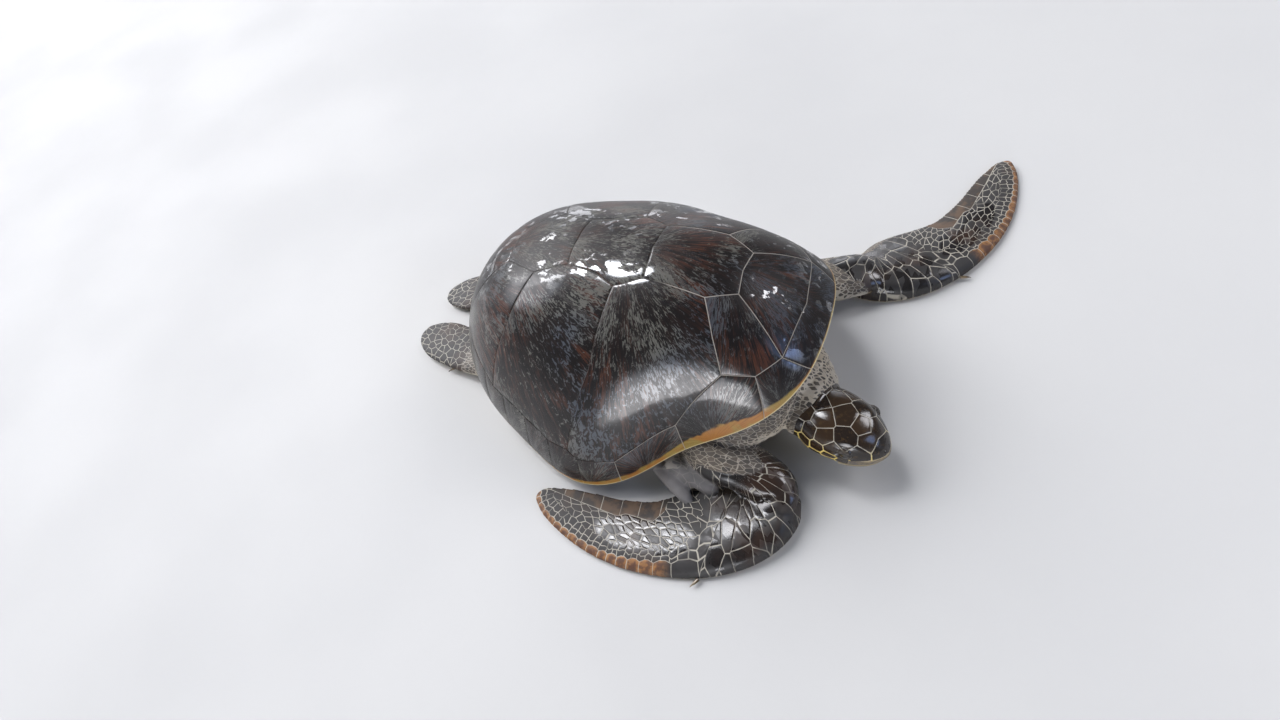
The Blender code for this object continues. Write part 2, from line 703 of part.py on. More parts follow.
def blade_spot(wrist, aim, side, u, v, z):
    turned = 1.0 if side < 0 else -1.0
    return placed([Vector((u, v, z))], wrist, aim, turned)[0]


def centre_on_origin():
    """Moves everything so that the middle of the whole lies over the origin."""
    low, high = Vector((9.0, 9.0, 9.0)), Vector((-9.0, -9.0, -9.0))
    things = [thing for thing in bpy.context.scene.collection.objects if thing.type == "MESH"]
    for thing in things:
        for vert in thing.data.vertices:
            low = Vector(map(min, low, vert.co))
            high = Vector(map(max, high, vert.co))
    shift = Vector((-(low.x + high.x) / 2.0, -(low.y + high.y) / 2.0, -low.z))
    for thing in things:
        thing.data.transform(Matrix.Translation(shift))


def main():
    for thing in list(bpy.data.objects):
        bpy.data.objects.remove(thing, do_unlink=True)
    add_carapace()
    add_plastron()
    verts, faces = trunk_surface()
    trunk = build_object("trunk", verts, faces, SKIN_COLOUR, 0.5)
    head = add_head()
    neck = add_neck()
    keep_clear(neck, [trunk, head])
    right = add_front_flipper("front_flipper_right", RIGHT_WRIST, RIGHT_AIM, -1.0)
    left = add_front_flipper("front_flipper_left", LEFT_WRIST, LEFT_AIM, 1.0)
    rims = {side: [bpy.data.objects[f"marginal_{side}_{k}"] for k in (2, 3)] for side in ("left", "right")}
    keep_clear(right, [trunk, neck] + rims["right"])
    keep_clear(left, [trunk, neck] + rims["left"])
    rear_right = add_rear_flipper("rear_flipper_right", -1.0)
    rear_left = add_rear_flipper("rear_flipper_left", 1.0)
    keep_clear(rear_right, [trunk])
    keep_clear(rear_left, [trunk])
    keep_clear(add_tail(), [trunk, rear_left, rear_right])
    for name, wrist, aim, side, flipper in (
        ("claw_front_right", RIGHT_WRIST, RIGHT_AIM, -1.0, right),
        ("claw_front_left", LEFT_WRIST, LEFT_AIM, 1.0, left),
    ):
        root = blade_spot(wrist, aim, side, 0.215, 0.187, 0.010)
        tip = blade_spot(wrist, aim, side, 0.232, 0.205, 0.009)
        add_claw(name, root, tip - root, 0.020, 0.0045, flipper)
    for name, side, flipper in (("claw_rear_right", -1.0, rear_right), ("claw_rear_left", 1.0, rear_left)):
        root = Vector((-0.621, side * 0.184, 0.014))
        add_claw(name, root, Vector((-0.7, side * 0.7, 0.0)), 0.016, 0.004, flipper)
    centre_on_origin()


main()
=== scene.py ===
"""Finished surfaces and staging for a life-size model of a green sea turtle at rest on the ground.

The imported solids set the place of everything. Each operator below builds one group of finished pieces over
them: the plates of the shell, the plates of the belly, the skin, the eyes, the horny beak and the claws. The
last one sets the studio.
"""

import math

import bmesh
import bpy
import numpy as np
from bpy.props import FloatProperty, FloatVectorProperty, PointerProperty
from bpy.types import Operator, Panel, PropertyGroup
from mathutils import Matrix, Vector, noise
from mathutils.geometry import delaunay_2d_cdt


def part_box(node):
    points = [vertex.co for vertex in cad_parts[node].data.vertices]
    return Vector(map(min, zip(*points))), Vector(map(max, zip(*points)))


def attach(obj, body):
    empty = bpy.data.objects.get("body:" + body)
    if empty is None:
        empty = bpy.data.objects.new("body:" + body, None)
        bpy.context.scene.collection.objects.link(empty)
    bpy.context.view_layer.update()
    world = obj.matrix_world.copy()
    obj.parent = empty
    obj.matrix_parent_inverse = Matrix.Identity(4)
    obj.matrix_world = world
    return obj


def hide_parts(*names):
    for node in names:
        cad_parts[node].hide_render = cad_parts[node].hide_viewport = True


bl_info = {
    "name": "Green Sea Turtle",
    "version": (1, 0, 0),
    "blender": (4, 5, 0),
    "location": "3D View > Sidebar > Turtle",
    "description": "Builds the finished surfaces of a life-size green sea turtle",
    "category": "Object",
}

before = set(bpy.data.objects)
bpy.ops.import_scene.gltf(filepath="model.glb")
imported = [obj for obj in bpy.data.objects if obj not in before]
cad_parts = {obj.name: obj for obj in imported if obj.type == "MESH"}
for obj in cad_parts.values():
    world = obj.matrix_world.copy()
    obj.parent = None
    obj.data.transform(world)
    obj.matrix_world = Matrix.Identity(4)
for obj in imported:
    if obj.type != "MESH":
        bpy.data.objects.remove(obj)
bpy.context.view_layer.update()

# Shell, in metres. The tuples are cosine series in the angle round it, 0 at the head and pi at the tail.
OUTLINE = (0.4407, -0.0530, 0.0519, 0.0079, 0.0153, -0.0105, -0.0099)
RIM_HEIGHT = (0.1113, 0.0804, 0.0643, 0.0047)
CROWN_HEIGHT = 0.4384
FLATNESS = (2.506, -0.206, 0.438)
STEEPNESS = (0.844, 0.150, -0.039)
DISC_POWER = 1.3
SHOULDER_FILL, SHOULDER_ANGLE, SHOULDER_SPREAD = 0.090, 1.15, 0.45
PLATE_THICK = 0.009
RIM_THICK = 0.016
CORE_GAP = 0.0055
SINK = 0.0004
RIM_SEAMS = (0.119, 0.262, 0.448, 0.617, 0.720, 0.815, 0.905, 0.993, 1.080, 1.167, 1.254, 1.340, 1.427)
SEAM_DEPTH = (0.891, 0.871, 0.892, 0.931, 0.928, 0.922, 0.922, 0.925, 0.915, 0.905, 0.905, 0.905, 0.905)
NAPE_BACK = (0.392, 0.0)
BACK_CORNERS = ((0.268, 0.058), (0.068, 0.078), (-0.120, 0.070), (-0.306, 0.056))
BACK_SIDES = ((0.206, 0.090), (0.004, 0.104), (-0.205, 0.094))
COSTAL_ENDS = ((0.262, 0.206), (-0.088, 0.385), (-0.338, 0.284))
COSTAL_BEND = ((0.236, 0.155), (-0.022, 0.262), (-0.262, 0.200))
# Plastron.
BELLY_CENTRE = -0.050
BELLY_HALF_LENGTH = 0.392
BELLY_HALF_WIDTH = 0.288
BELLY_THICK = 0.012
BELLY_ROUND = 2.4
BELLY_SEAMS = (0.262, 0.150, -0.010, -0.190, -0.330)
# Head.
HEAD_LENGTH = 0.212
HEAD_ROUND = 2.3
HEAD_BASE = (0.404, -0.134, 0.118)
HEAD_TURN = math.radians(-18.0)
HEAD_NOD = math.radians(-7.0)
EYE_RADIUS = 0.0165
EYE_PLACE = (0.138, 0.0570, 0.022)
MOUTH_HEIGHT = -0.0140
EYE_INSET = 0.0026
# Front flippers.
RIGHT_WRIST = (0.446, -0.330, 0.0)
RIGHT_AIM = math.radians(191.0)
LEFT_WRIST = (0.425, 0.295, 0.0)
LEFT_AIM = math.radians(60.0)
BLADES = ((RIGHT_WRIST, RIGHT_AIM, -1.0), (LEFT_WRIST, LEFT_AIM, 1.0))
BLADE_LENGTH = 0.645
BLADE_SKIN = 0.0032
# Middle of the fan of large scales round a wrist, on the blade, and the pitch of the scales beyond it.
FAN = (0.136, -0.036)
INNER_PITCH = 0.0165
CALM_PITCH = 0.052
# Edge of the zone of broad, calm scales behind a blade: places along it and across it.
CALM_BORDER = (
    (0.290, -0.6), (0.305, 0.040), (0.33, 0.069), (0.40, 0.053),
    (0.42, 0.060), (0.53, 0.029), (0.61, 0.004),
)
# Rear flippers: how far out their middle line starts, and how far in it sweeps.
REAR_OUT, REAR_IN = 0.152, 0.078
# Edges stay crisp between faces that meet at more than this.
CRISP = math.radians(50.0)

# The shell's own middle lies here in the shared frame.
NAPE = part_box("nuchal")
ORIGIN = Vector((NAPE[1].x - sum(OUTLINE), (NAPE[0].y + NAPE[1].y) / 2.0, 0.0))


class TurtleShellSettings(PropertyGroup):
    """Sizes and colours of the plates."""

    fineness: FloatProperty(
        name="Fineness", description="Spacing of points over a plate, as a share of the shell's radius",
        default=0.0125, min=0.006, max=0.05,
    )
    seam_gap: FloatProperty(
        name="Seam gap", description="Half of the open line between two plates", default=0.00014,
        min=0.0001, max=0.003, unit="LENGTH",
    )
    edge_round: FloatProperty(
        name="Edge rounding", description="How far a plate's edge drops below its face", default=0.0006,
        min=0.0, max=0.004, unit="LENGTH",
    )
    dark: FloatVectorProperty(
        name="Dark horn", description="Ground colour of the plates", subtype="COLOR",
        default=(0.0065, 0.0050, 0.0048), min=0.0, max=1.0,
    )
    ray: FloatVectorProperty(
        name="Rays", description="Reddish brown of the growth rays", subtype="COLOR",
        default=(0.070, 0.024, 0.012), min=0.0, max=1.0,
    )
    bloom: FloatVectorProperty(
        name="Bloom", description="Grey olive of the worn patches", subtype="COLOR",
        default=(0.115, 0.112, 0.096), min=0.0, max=1.0,
    )
    amber: FloatVectorProperty(
        name="Amber rim", description="Translucent amber of the plates at the rim", subtype="COLOR",
        default=(0.36, 0.150, 0.030), min=0.0, max=1.0,
    )
    cream: FloatVectorProperty(
        name="Cream", description="Pale horn of the belly and the seams", subtype="COLOR",
        default=(0.62, 0.52, 0.34), min=0.0, max=1.0,
    )


class TurtleSkinSettings(PropertyGroup):
    """Sizes and colours of the skin."""

    voxel: FloatProperty(
        name="Voxel", description="Cell size of the remesh that joins the skin", default=0.0048,
        min=0.0025, max=0.02, unit="LENGTH",
    )
    scale_dark: FloatVectorProperty(
        name="Scales", description="Colour of the dark scales", subtype="COLOR",
        default=(0.0085, 0.0068, 0.0062), min=0.0, max=1.0,
    )
    seam: FloatVectorProperty(
        name="Seams", description="Colour between the scales of the flippers", subtype="COLOR",
        default=(0.31, 0.285, 0.235), min=0.0, max=1.0,
    )
    cream: FloatVectorProperty(
        name="Cream skin", description="Colour of the soft skin of neck and shoulders", subtype="COLOR",
        default=(0.50, 0.42, 0.30), min=0.0, max=1.0,
    )
    yellow: FloatVectorProperty(
        name="Yellow seams", description="Colour between the scales of the cheeks", subtype="COLOR",
        default=(0.60, 0.46, 0.13), min=0.0, max=1.0,
    )
    amber: FloatVectorProperty(
        name="Amber scales", description="Scales along a flipper's leading edge", subtype="COLOR",
        default=(0.24, 0.105, 0.026), min=0.0, max=1.0,
    )


class TurtleStudioSettings(PropertyGroup):
    """Floor, lights and camera."""

    lens: FloatProperty(
        name="Lens", description="Focal length", default=18.16, min=8.0, max=200.0, unit="CAMERA",
    )
    floor: FloatVectorProperty(
        name="Floor", description="Colour of the floor", subtype="COLOR", default=(0.47, 0.467, 0.458),
        min=0.0, max=1.0,
    )
    sky: FloatProperty(name="Sky", description="Strength of the even light", default=0.55, min=0.0, max=5.0)


# ---------------------------------------------------------------- shapes shared by several pieces


def series(terms, angle):
    """A cosine series at an angle."""
    return sum(term * np.cos(k * angle) for k, term in enumerate(terms))


def shell_radius(angle, share):
    """Plan radius for a share of the way to the rim; the notch over the shoulder fades away up the dome."""
    fill = SHOULDER_FILL * np.exp(-(((np.abs(angle) - SHOULDER_ANGLE) / SHOULDER_SPREAD) ** 2))
    return series(OUTLINE, angle) + fill * (1.0 - share**2)


def shell_share(x, y):
    """Share of the way from the middle to the rim of a spot given by its distances ahead and to the side."""
    angle, reach = math.atan2(y, x), math.hypot(x, y)
    share = 0.5
    for _ in range(12):
        share = min(1.0, reach / float(shell_radius(angle, share)))
    return share


def shell_point(u, v):
    """Point of the shell's outer face for a place (u, v) on the flat layout disc."""
    q = np.minimum(np.hypot(u, v), 1.0)
    angle = np.arctan2(v, u)
    share = 1.0 - np.power(np.maximum(1.0 - q, 0.0), DISC_POWER)
    radius = shell_radius(angle, share)
    rim = series(RIM_HEIGHT, angle)
    rest = np.maximum(1.0 - np.power(share, series(FLATNESS, angle)), 1e-9)
    height = rim + (CROWN_HEIGHT - rim) * np.power(rest, series(STEEPNESS, angle))
    return np.stack([radius * share * np.cos(angle), radius * share * np.sin(angle), height], -1)


def shell_normal(u, v):
    """Outward unit normal of the shell at a place on the layout disc."""
    step = 0.004
    pull = np.minimum(1.0, (1.0 - 2.0 * step) / np.maximum(np.hypot(u, v), 1e-6))
    u, v = u * pull, v * pull
    along = shell_point(u + step, v) - shell_point(u - step, v)
    across = shell_point(u, v + step) - shell_point(u, v - step)
    normal = np.cross(along, across)
    return normal / np.linalg.norm(normal, axis=-1, keepdims=True)


def at_angle(angle, share):
    """Layout disc place for an angle and a share of the way to the rim."""
    q = float(1.0 - np.power(max(1.0 - share, 0.0), 1.0 / DISC_POWER))
    return (q * math.cos(angle), q * math.sin(angle))


def disc_place(x, y):
    """Layout disc place of a spot given by its distances ahead and to the side."""
    return at_angle(math.atan2(y, x), shell_share(x, y))


def smooth(x, low=0.0, high=1.0):
    """Smooth step of a number or an array."""
    t = np.clip((np.asarray(x, float) - low) / (high - low), 0.0, 1.0)
    return t * t * (3.0 - 2.0 * t)


def bell(x, middle, width):
    return np.exp(-(((x - middle) / width) ** 2))


def rounded(c, s, power):
    """Reach of a rounded box towards (c, s), as a share of its half sides."""
    return (abs(c) ** power + abs(s) ** power) ** (-1.0 / power)


def flat(points):
    """Points on a plane as an array of rows."""
    return np.array([(p.x, p.y) for p in points])


def segment_distance(points, line, closed=True):
    """Distance from each point to the nearest stretch of a line of points."""
    a = np.asarray(line, float)
    b = np.roll(a, -1, axis=0) if closed else a[1:]
    a = a if closed else a[:-1]
    run = b - a
    size = np.maximum((run**2).sum(1), 1e-12)
    best = np.full(len(points), 9.0)
    place = np.zeros(len(points))
    lengths = np.concatenate([[0.0], np.cumsum(np.sqrt(size))])
    for k in range(len(a)):
        share = np.clip(((points - a[k]) @ run[k]) / size[k], 0.0, 1.0)
        far = np.linalg.norm(points - a[k] - share[:, None] * run[k], axis=1)
        near = far < best
        best[near] = far[near]
        place[near] = lengths[k] + share[near] * math.sqrt(size[k])
    return best, place


def new_piece(name, form):
    """Makes a mesh object from a bmesh."""
    mesh = bpy.data.meshes.new(name)
    form.to_mesh(mesh)
    form.free()
    piece = bpy.data.objects.new(name, mesh)
    bpy.context.scene.collection.objects.link(piece)
    mesh.shade_smooth()
    return piece


def applied(piece):
    """Bakes a piece's modifiers into its mesh."""
    graph = bpy.context.evaluated_depsgraph_get()
    made = bpy.data.meshes.new_from_object(piece.evaluated_get(graph))
    old = piece.data
    piece.modifiers.clear()
    piece.data = made
    bpy.data.meshes.remove(old)
    made.name = piece.name
    return piece


def thickened(piece, thick):
    """Gives a sheet its thickness, inwards, with smooth faces and crisp edges."""
    wall = piece.modifiers.new("thickness", "SOLIDIFY")
    wall.thickness = thick
    wall.offset = -1.0
    applied(piece)
    piece.data.shade_smooth()
    piece.data.set_sharp_from_angle(angle=CRISP)


def set_attributes(mesh, **named):
    """Stores numbers or vectors for each vertex, each under its name."""
    for name, values in named.items():
        values = np.asarray(values, np.float32)
        kind, key = ("FLOAT_VECTOR", "vector") if values.ndim == 2 else ("FLOAT", "value")
        mesh.attributes.new(name, kind, "POINT").data.foreach_set(key, values.ravel())


def places(mesh):
    co = np.empty(len(mesh.vertices) * 3, np.float32)
    mesh.vertices.foreach_get("co", co)
    return co.reshape(-1, 3).astype(float)


def set_places(mesh, co):
    mesh.vertices.foreach_set("co", np.asarray(co, np.float32).ravel())
    mesh.update()


def normals_of(mesh):
    normal = np.empty(len(mesh.vertices) * 3, np.float32)
    mesh.vertices.foreach_get("normal", normal)
    return normal.reshape(-1, 3).astype(float)


def dress(piece, slot, material, *nodes):
    """Gives a finished piece its material and its body, and hides the solids that it stands for; slot is not
    used.
    """
    piece.data.materials.clear()
    piece.data.materials.append(material)
    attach(piece, "root")
    if nodes:
        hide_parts(*nodes)
    return piece


def settings(name):
    return getattr(bpy.context.scene, name)


# ---------------------------------------------------------------- materials


def plain_sign(how, turned=False):
    """A plain sign between two numbers of a shader tree."""

    def applied_sign(self, other=None):
        return self.nodes.sum(how, *((other, self) if turned else (self, other)))

    return applied_sign


class Value:
    """One output in a shader tree."""

    def __init__(self, nodes, socket):
        self.nodes = nodes
        self.socket = socket

    __add__ = plain_sign("ADD")
    __radd__ = plain_sign("ADD", True)
    __sub__ = plain_sign("SUBTRACT")
    __rsub__ = plain_sign("SUBTRACT", True)
    __mul__ = plain_sign("MULTIPLY")
    __pow__ = plain_sign("POWER")
    __gt__ = plain_sign("GREATER_THAN")
    __lt__ = plain_sign("LESS_THAN")
    __abs__ = plain_sign("ABSOLUTE")


class Nodes:
    """Short ways to add shader nodes to one tree."""

    def __init__(self, tree):
        self.tree = tree

    def add(self, kind, **choices):
        node = self.tree.nodes.new(kind)
        for key, choice in choices.items():
            setattr(node, key, choice)
        return node

    def fill(self, node, inputs):
        """Links or sets a node's inputs, each by its name or number."""
        for key, value in inputs.items():
            socket = node.inputs[key]
            if isinstance(value, Value):
                self.tree.links.new(value.socket, socket)
            elif value is not None:
                colour = socket.type == "RGBA" and len(value) == 3
                socket.default_value = (*value, 1.0) if colour else value

    def made(self, kind, inputs, output=0, **choices):
        """Adds a node, fills its inputs and gives one of its outputs."""
        node = self.add(kind, **choices)
        self.fill(node, inputs)
        return Value(self, node.outputs[output])

    def attribute(self, name, part="Fac"):
        return self.made("ShaderNodeAttribute", {}, part, attribute_name=name)

    def object_place(self):
        return self.made("ShaderNodeTexCoord", {}, "Object")

    def sum(self, how, a, b=None):
        return self.made("ShaderNodeMath", {0: a, 1: b}, operation=how)

    def least(self, a, b):
        return self.sum("MINIMUM", a, b)

    def most(self, a, b):
        return self.sum("MAXIMUM", a, b)

    def vector(self, how, a, b):
        """A number worked out from two vectors."""
        return self.made("ShaderNodeVectorMath", {0: a, 1: b}, 1, operation=how)

    def stretch(self, vector, scale, location=(0.0, 0.0, 0.0), rotation=(0.0, 0.0, 0.0)):
        inputs = {"Vector": vector, "Scale": scale, "Location": location, "Rotation": rotation}
        return self.made("ShaderNodeMapping", inputs)

    def split(self, vector):
        node = self.add("ShaderNodeSeparateXYZ")
        self.fill(node, {0: vector})
        return [Value(self, socket) for socket in node.outputs]

    def join(self, x, y, z=None):
        return self.made("ShaderNodeCombineXYZ", {0: x, 1: y, 2: z})

    def noise(self, vector, scale, detail=3.0, rough=0.5, distortion=0.0):
        inputs = {
            "Vector": vector, "Scale": scale, "Detail": detail, "Roughness": rough,
            "Distortion": distortion,
        }
        return self.made("ShaderNodeTexNoise", inputs)

    def cells(self, vector, scale=1.0, part="Distance", flat=True, random=1.0):
        """Cells of a pattern: the distance to their nearest border, or their colour or their middle."""
        feature = "DISTANCE_TO_EDGE" if part == "Distance" else "F1"
        inputs = {"Vector": vector, "Scale": scale, "Randomness": random}
        kind = "2D" if flat else "3D"
        return self.made("ShaderNodeTexVoronoi", inputs, part, feature=feature, voronoi_dimensions=kind)

    def cells_along(self, value, random):
        """Distance to the nearest border of cells laid in one row."""
        inputs = {"W": value, "Scale": 1.0, "Randomness": random}
        choices = {"feature": "DISTANCE_TO_EDGE", "voronoi_dimensions": "1D"}
        return self.made("ShaderNodeTexVoronoi", inputs, "Distance", **choices)

    def pick(self, share, a, b):
        """A number between a and b."""
        return self.made("ShaderNodeMix", {0: share, 2: a, 3: b}, data_type="FLOAT")

    def step(self, value, low, high, start=0.0, end=1.0):
        """Smooth step from start at low to end at high."""
        inputs = dict(enumerate((value, low, high, start, end)))
        return self.made("ShaderNodeMapRange", inputs, interpolation_type="SMOOTHSTEP")

    def mix(self, share, a, b):
        """Mixes two colours."""
        return self.made("ShaderNodeMix", {0: share, 6: a, 7: b}, 2, data_type="RGBA")

    def bump(self, height, strength, distance, normal=None):
        inputs = {"Strength": strength, "Distance": distance, "Height": height, "Normal": normal}
        return self.made("ShaderNodeBump", inputs)

    def group(self, name, **inputs):
        """Uses one of this file's node groups, which is built when it is first asked for."""
        tree = bpy.data.node_groups.get(name) or GROUPS[name](name)
        node = self.add("ShaderNodeGroup", node_tree=tree)
        self.fill(node, inputs)
        return {socket.name: Value(self, socket) for socket in node.outputs}


def new_material(name):
    material = bpy.data.materials.new(name)
    material.use_nodes = True
    shader = material.node_tree.nodes["Principled BSDF"]
    return material, shader, Nodes(material.node_tree)


def new_group(name, inputs, outputs):
    """A node group that gives numbers; an input without a starting number is a vector."""
    tree = bpy.data.node_groups.new(name, "ShaderNodeTree")
    for label, value in inputs.items():
        kind = "NodeSocketVector" if value is None else "NodeSocketFloat"
        socket = tree.interface.new_socket(label, in_out="INPUT", socket_type=kind)
        if value is not None:
            socket.default_value = value
    for label in outputs:
        tree.interface.new_socket(label, in_out="OUTPUT", socket_type="NodeSocketFloat")
    nodes = Nodes(tree)
    given = {socket.name: Value(nodes, socket) for socket in nodes.add("NodeGroupInput").outputs}
    return tree, nodes, given, nodes.add("NodeGroupOutput")


def wet_film_group(name):
    """Where water still lies on a surface, as a mask with ragged edges."""
    tree, nodes, given, end = new_group(name, {"Vector": None, "Cover": 0.5, "Scale": 9.0}, ("Film",))
    broad = nodes.noise(given["Vector"], given["Scale"], 7.0, 0.62, 0.6)
    small = nodes.noise(given["Vector"], given["Scale"] * 5.0, 5.0, 0.6, 0.5)
    both = broad * 0.55 + small * 0.45
    nodes.fill(end, {"Film": nodes.step(both - (1.0 - given["Cover"]), -0.012, 0.012)})
    return tree


def fine_grain_group(name):
    """Fine uneven relief, from pores to shallow wrinkles, as a height."""
    tree, nodes, given, end = new_group(name, {"Vector": None, "Scale": 90.0}, ("Height",))
    coarse = nodes.noise(given["Vector"], given["Scale"], 5.0, 0.6, 0.3)
    creases = nodes.cells(given["Vector"], given["Scale"] * 3.1, flat=False)
    nodes.fill(end, {"Height": coarse + nodes.step(creases, 0.0, 0.12) * 0.35})
    return tree


def growth_rays_group(name):
    """Rays and worn patches that run out from a plate's growth point, from the plate's own directions."""
    tree, nodes, given, end = new_group(name, {"Grain": None}, ("Rays", "Patches", "Rings"))
    grain = given["Grain"]
    fine = nodes.noise(nodes.stretch(grain, (520.0, 26.0, 1.0)), 1.0, 4.0, 0.62, 0.3)
    broad = nodes.noise(nodes.stretch(grain, (120.0, 11.0, 1.0), (3.1, 0.0, 0.0)), 1.0, 4.0, 0.6, 0.4)
    worn = nodes.noise(nodes.stretch(grain, (300.0, 62.0, 1.0), (0.0, 5.0, 0.0)), 1.0, 6.0, 0.64, 0.9)
    where = nodes.noise(nodes.stretch(grain, (11.0, 9.0, 1.0)), 1.0, 3.0, 0.6)
    rays = nodes.step(fine * 0.5 + broad * 0.5, 0.47, 0.60)
    patches = nodes.step(worn - (0.86 - where * 0.62), -0.02, 0.04)
    rings = nodes.noise(nodes.stretch(grain, (3.0, 170.0, 1.0)), 1.0, 2.0, 0.5)
    nodes.fill(end, {"Rays": rays, "Patches": patches, "Rings": rings})
    return tree


def head_plates_group(name):
    """Lines between the plates of the head, the same on both sides, as a distance from the nearest line."""
    tree, nodes, given, end = new_group(name, {"Place": None}, ("Line", "Tint"))
    parts = nodes.split(given["Place"])
    place = nodes.join(parts[0], abs(parts[1]), parts[2])
    first, second, tint = 9.0, 9.0, 0.0
    for k, (_, t, lift) in enumerate(HEAD_PLATES):
        far = nodes.vector("DISTANCE", place, tuple(head_spot(t, math.radians(lift))))
        closer = far < first
        tint = closer * (k * 0.381 % 1.0) + (1.0 - closer) * tint
        second = nodes.least(second, nodes.most(first, far))
        first = nodes.least(first, far)
    nodes.fill(end, {"Line": second - first, "Tint": tint})
    return tree


GROUPS = {
    "Wet film": wet_film_group,
    "Fine grain": fine_grain_group,
    "Growth rays": growth_rays_group,
    "Head plates": head_plates_group,
}


def belly_finish(s, nodes, place, edge, growth, tone):
    """Colour, roughness and water film of the pale plates of the belly."""
    base = nodes.mix(nodes.step(tone, 0.35, 0.7), s.cream, (0.50, 0.37, 0.17))
    base = nodes.mix(growth["Patches"] * 0.45, base, (0.22, 0.17, 0.12))
    base = nodes.mix(growth["Rays"] * 0.25, base, (0.40, 0.27, 0.10))
    colour = nodes.mix(nodes.step(edge, 0.0008, 0.0026), (0.23, 0.17, 0.10), base)
    rough = nodes.step(growth["Patches"], 0.0, 1.0, 0.36, 0.52)
    return colour, rough, nodes.group("Wet film", Vector=place, Cover=0.36, Scale=8.0)["Film"]


def back_finish(s, nodes, place, edge, growth, tone):
    """Colour, roughness and water film of the dark plates of the shell, with the amber lip at their rim."""
    rim = nodes.attribute("rim")
    warm = nodes.step(tone, 0.44, 0.64)
    base = nodes.mix(growth["Rays"] * (0.10 + warm * 0.78), s.dark, s.ray)
    cool = nodes.noise(nodes.stretch(place, (1.0, 1.0, 1.0), (2.0, 1.0, 0.0)), 3.0, 2.0, 0.5)
    bloom = nodes.mix(nodes.step(cool, 0.46, 0.62), s.bloom, (0.058, 0.066, 0.082))
    base = nodes.mix(growth["Patches"] * nodes.step(tone, 0.34, 0.60, 0.86, 0.62), base, bloom)
    wave = nodes.noise(place, 17.0, 4.0, 0.55, 0.4)
    lip = nodes.step(nodes.attribute("lip") * (0.35 + wave * 1.25) - rim, -0.0026, 0.0034)
    honey = nodes.mix(nodes.step(wave, 0.42, 0.62), s.amber, (0.30, 0.215, 0.055))
    honey = nodes.mix(growth["Rays"] * 0.40, honey, (0.120, 0.045, 0.014))
    base = nodes.mix(lip, base, honey)
    base = nodes.mix(nodes.step(rim, 0.0018, 0.0042), (0.60, 0.49, 0.25), base)
    x, y, z = nodes.split(place)
    ahead = x * 1.6 + tone * 0.5 + nodes.step(z, 0.10, 0.16, 0.16, 0.0)
    pale_seams = nodes.step(ahead, 0.36, 0.56, 0.05, 0.95)
    line = 1.0 - nodes.step(edge, 0.0004, 0.0011)
    colour = nodes.mix(line * pale_seams, base, (0.34, 0.31, 0.27))
    rough = nodes.step(growth["Patches"], 0.0, 1.0, 0.38, 0.50)
    beyond = y + nodes.noise(place, 14.0, 4.0, 0.6) * 0.16
    flank = nodes.most(nodes.step(abs(y), 0.20, 0.30), nodes.step(beyond, 0.175, 0.205))
    stretched = nodes.stretch(place, (0.75, 1.0, 1.0))
    flecks = nodes.group("Wet film", Vector=stretched, Cover=0.455, Scale=10.0)["Film"]
    satin = 0.24 + growth["Rays"] * 0.16 + growth["Patches"] * 0.28
    return colour, rough, nodes.pick(flank, flecks, satin) * nodes.step(edge, 0.0008, 0.0032, 0.04, 1.0)


def horn_material(name, finish):
    """Wet horn of the plates of shell or belly."""
    material, shader, nodes = new_material(name)
    growth = nodes.group("Growth rays", Grain=nodes.attribute("grain", "Vector"))
    place = nodes.object_place()
    tone = nodes.noise(place, 5.5, 3.0, 0.55)
    s, edge = settings("turtle_shell"), nodes.attribute("edge")
    colour, rough, film = finish(s, nodes, place, edge, growth, tone)
    fine = nodes.group("Fine grain", Vector=place, Scale=60.0)["Height"]
    relief = growth["Rays"] * 0.20 + growth["Rings"] * 0.35 + fine * 0.30 + film * 0.22
    nodes.fill(shader, {
        "Base Color": colour, "Roughness": rough, "Specular IOR Level": 0.18, "Coat Weight": film,
        "Coat Roughness": 0.11, "Coat IOR": 1.9, "Normal": nodes.bump(relief, 0.42, 0.0011),
    })
    return material


# ---------------------------------------------------------------- plates of the shell


def rim_angles():
    """Angle round the shell of each seam between marginal plates, measured along the rim."""
    angle = np.linspace(0.0, math.pi, 1441)
    rim = shell_point(np.cos(angle), np.sin(angle))[:, :2]
    run = np.concatenate([[0.0], np.cumsum(np.linalg.norm(np.diff(rim, axis=0), axis=1))])
    return np.interp(np.array(RIM_SEAMS) * run[-1] / RIM_SEAMS[-1], run, angle)


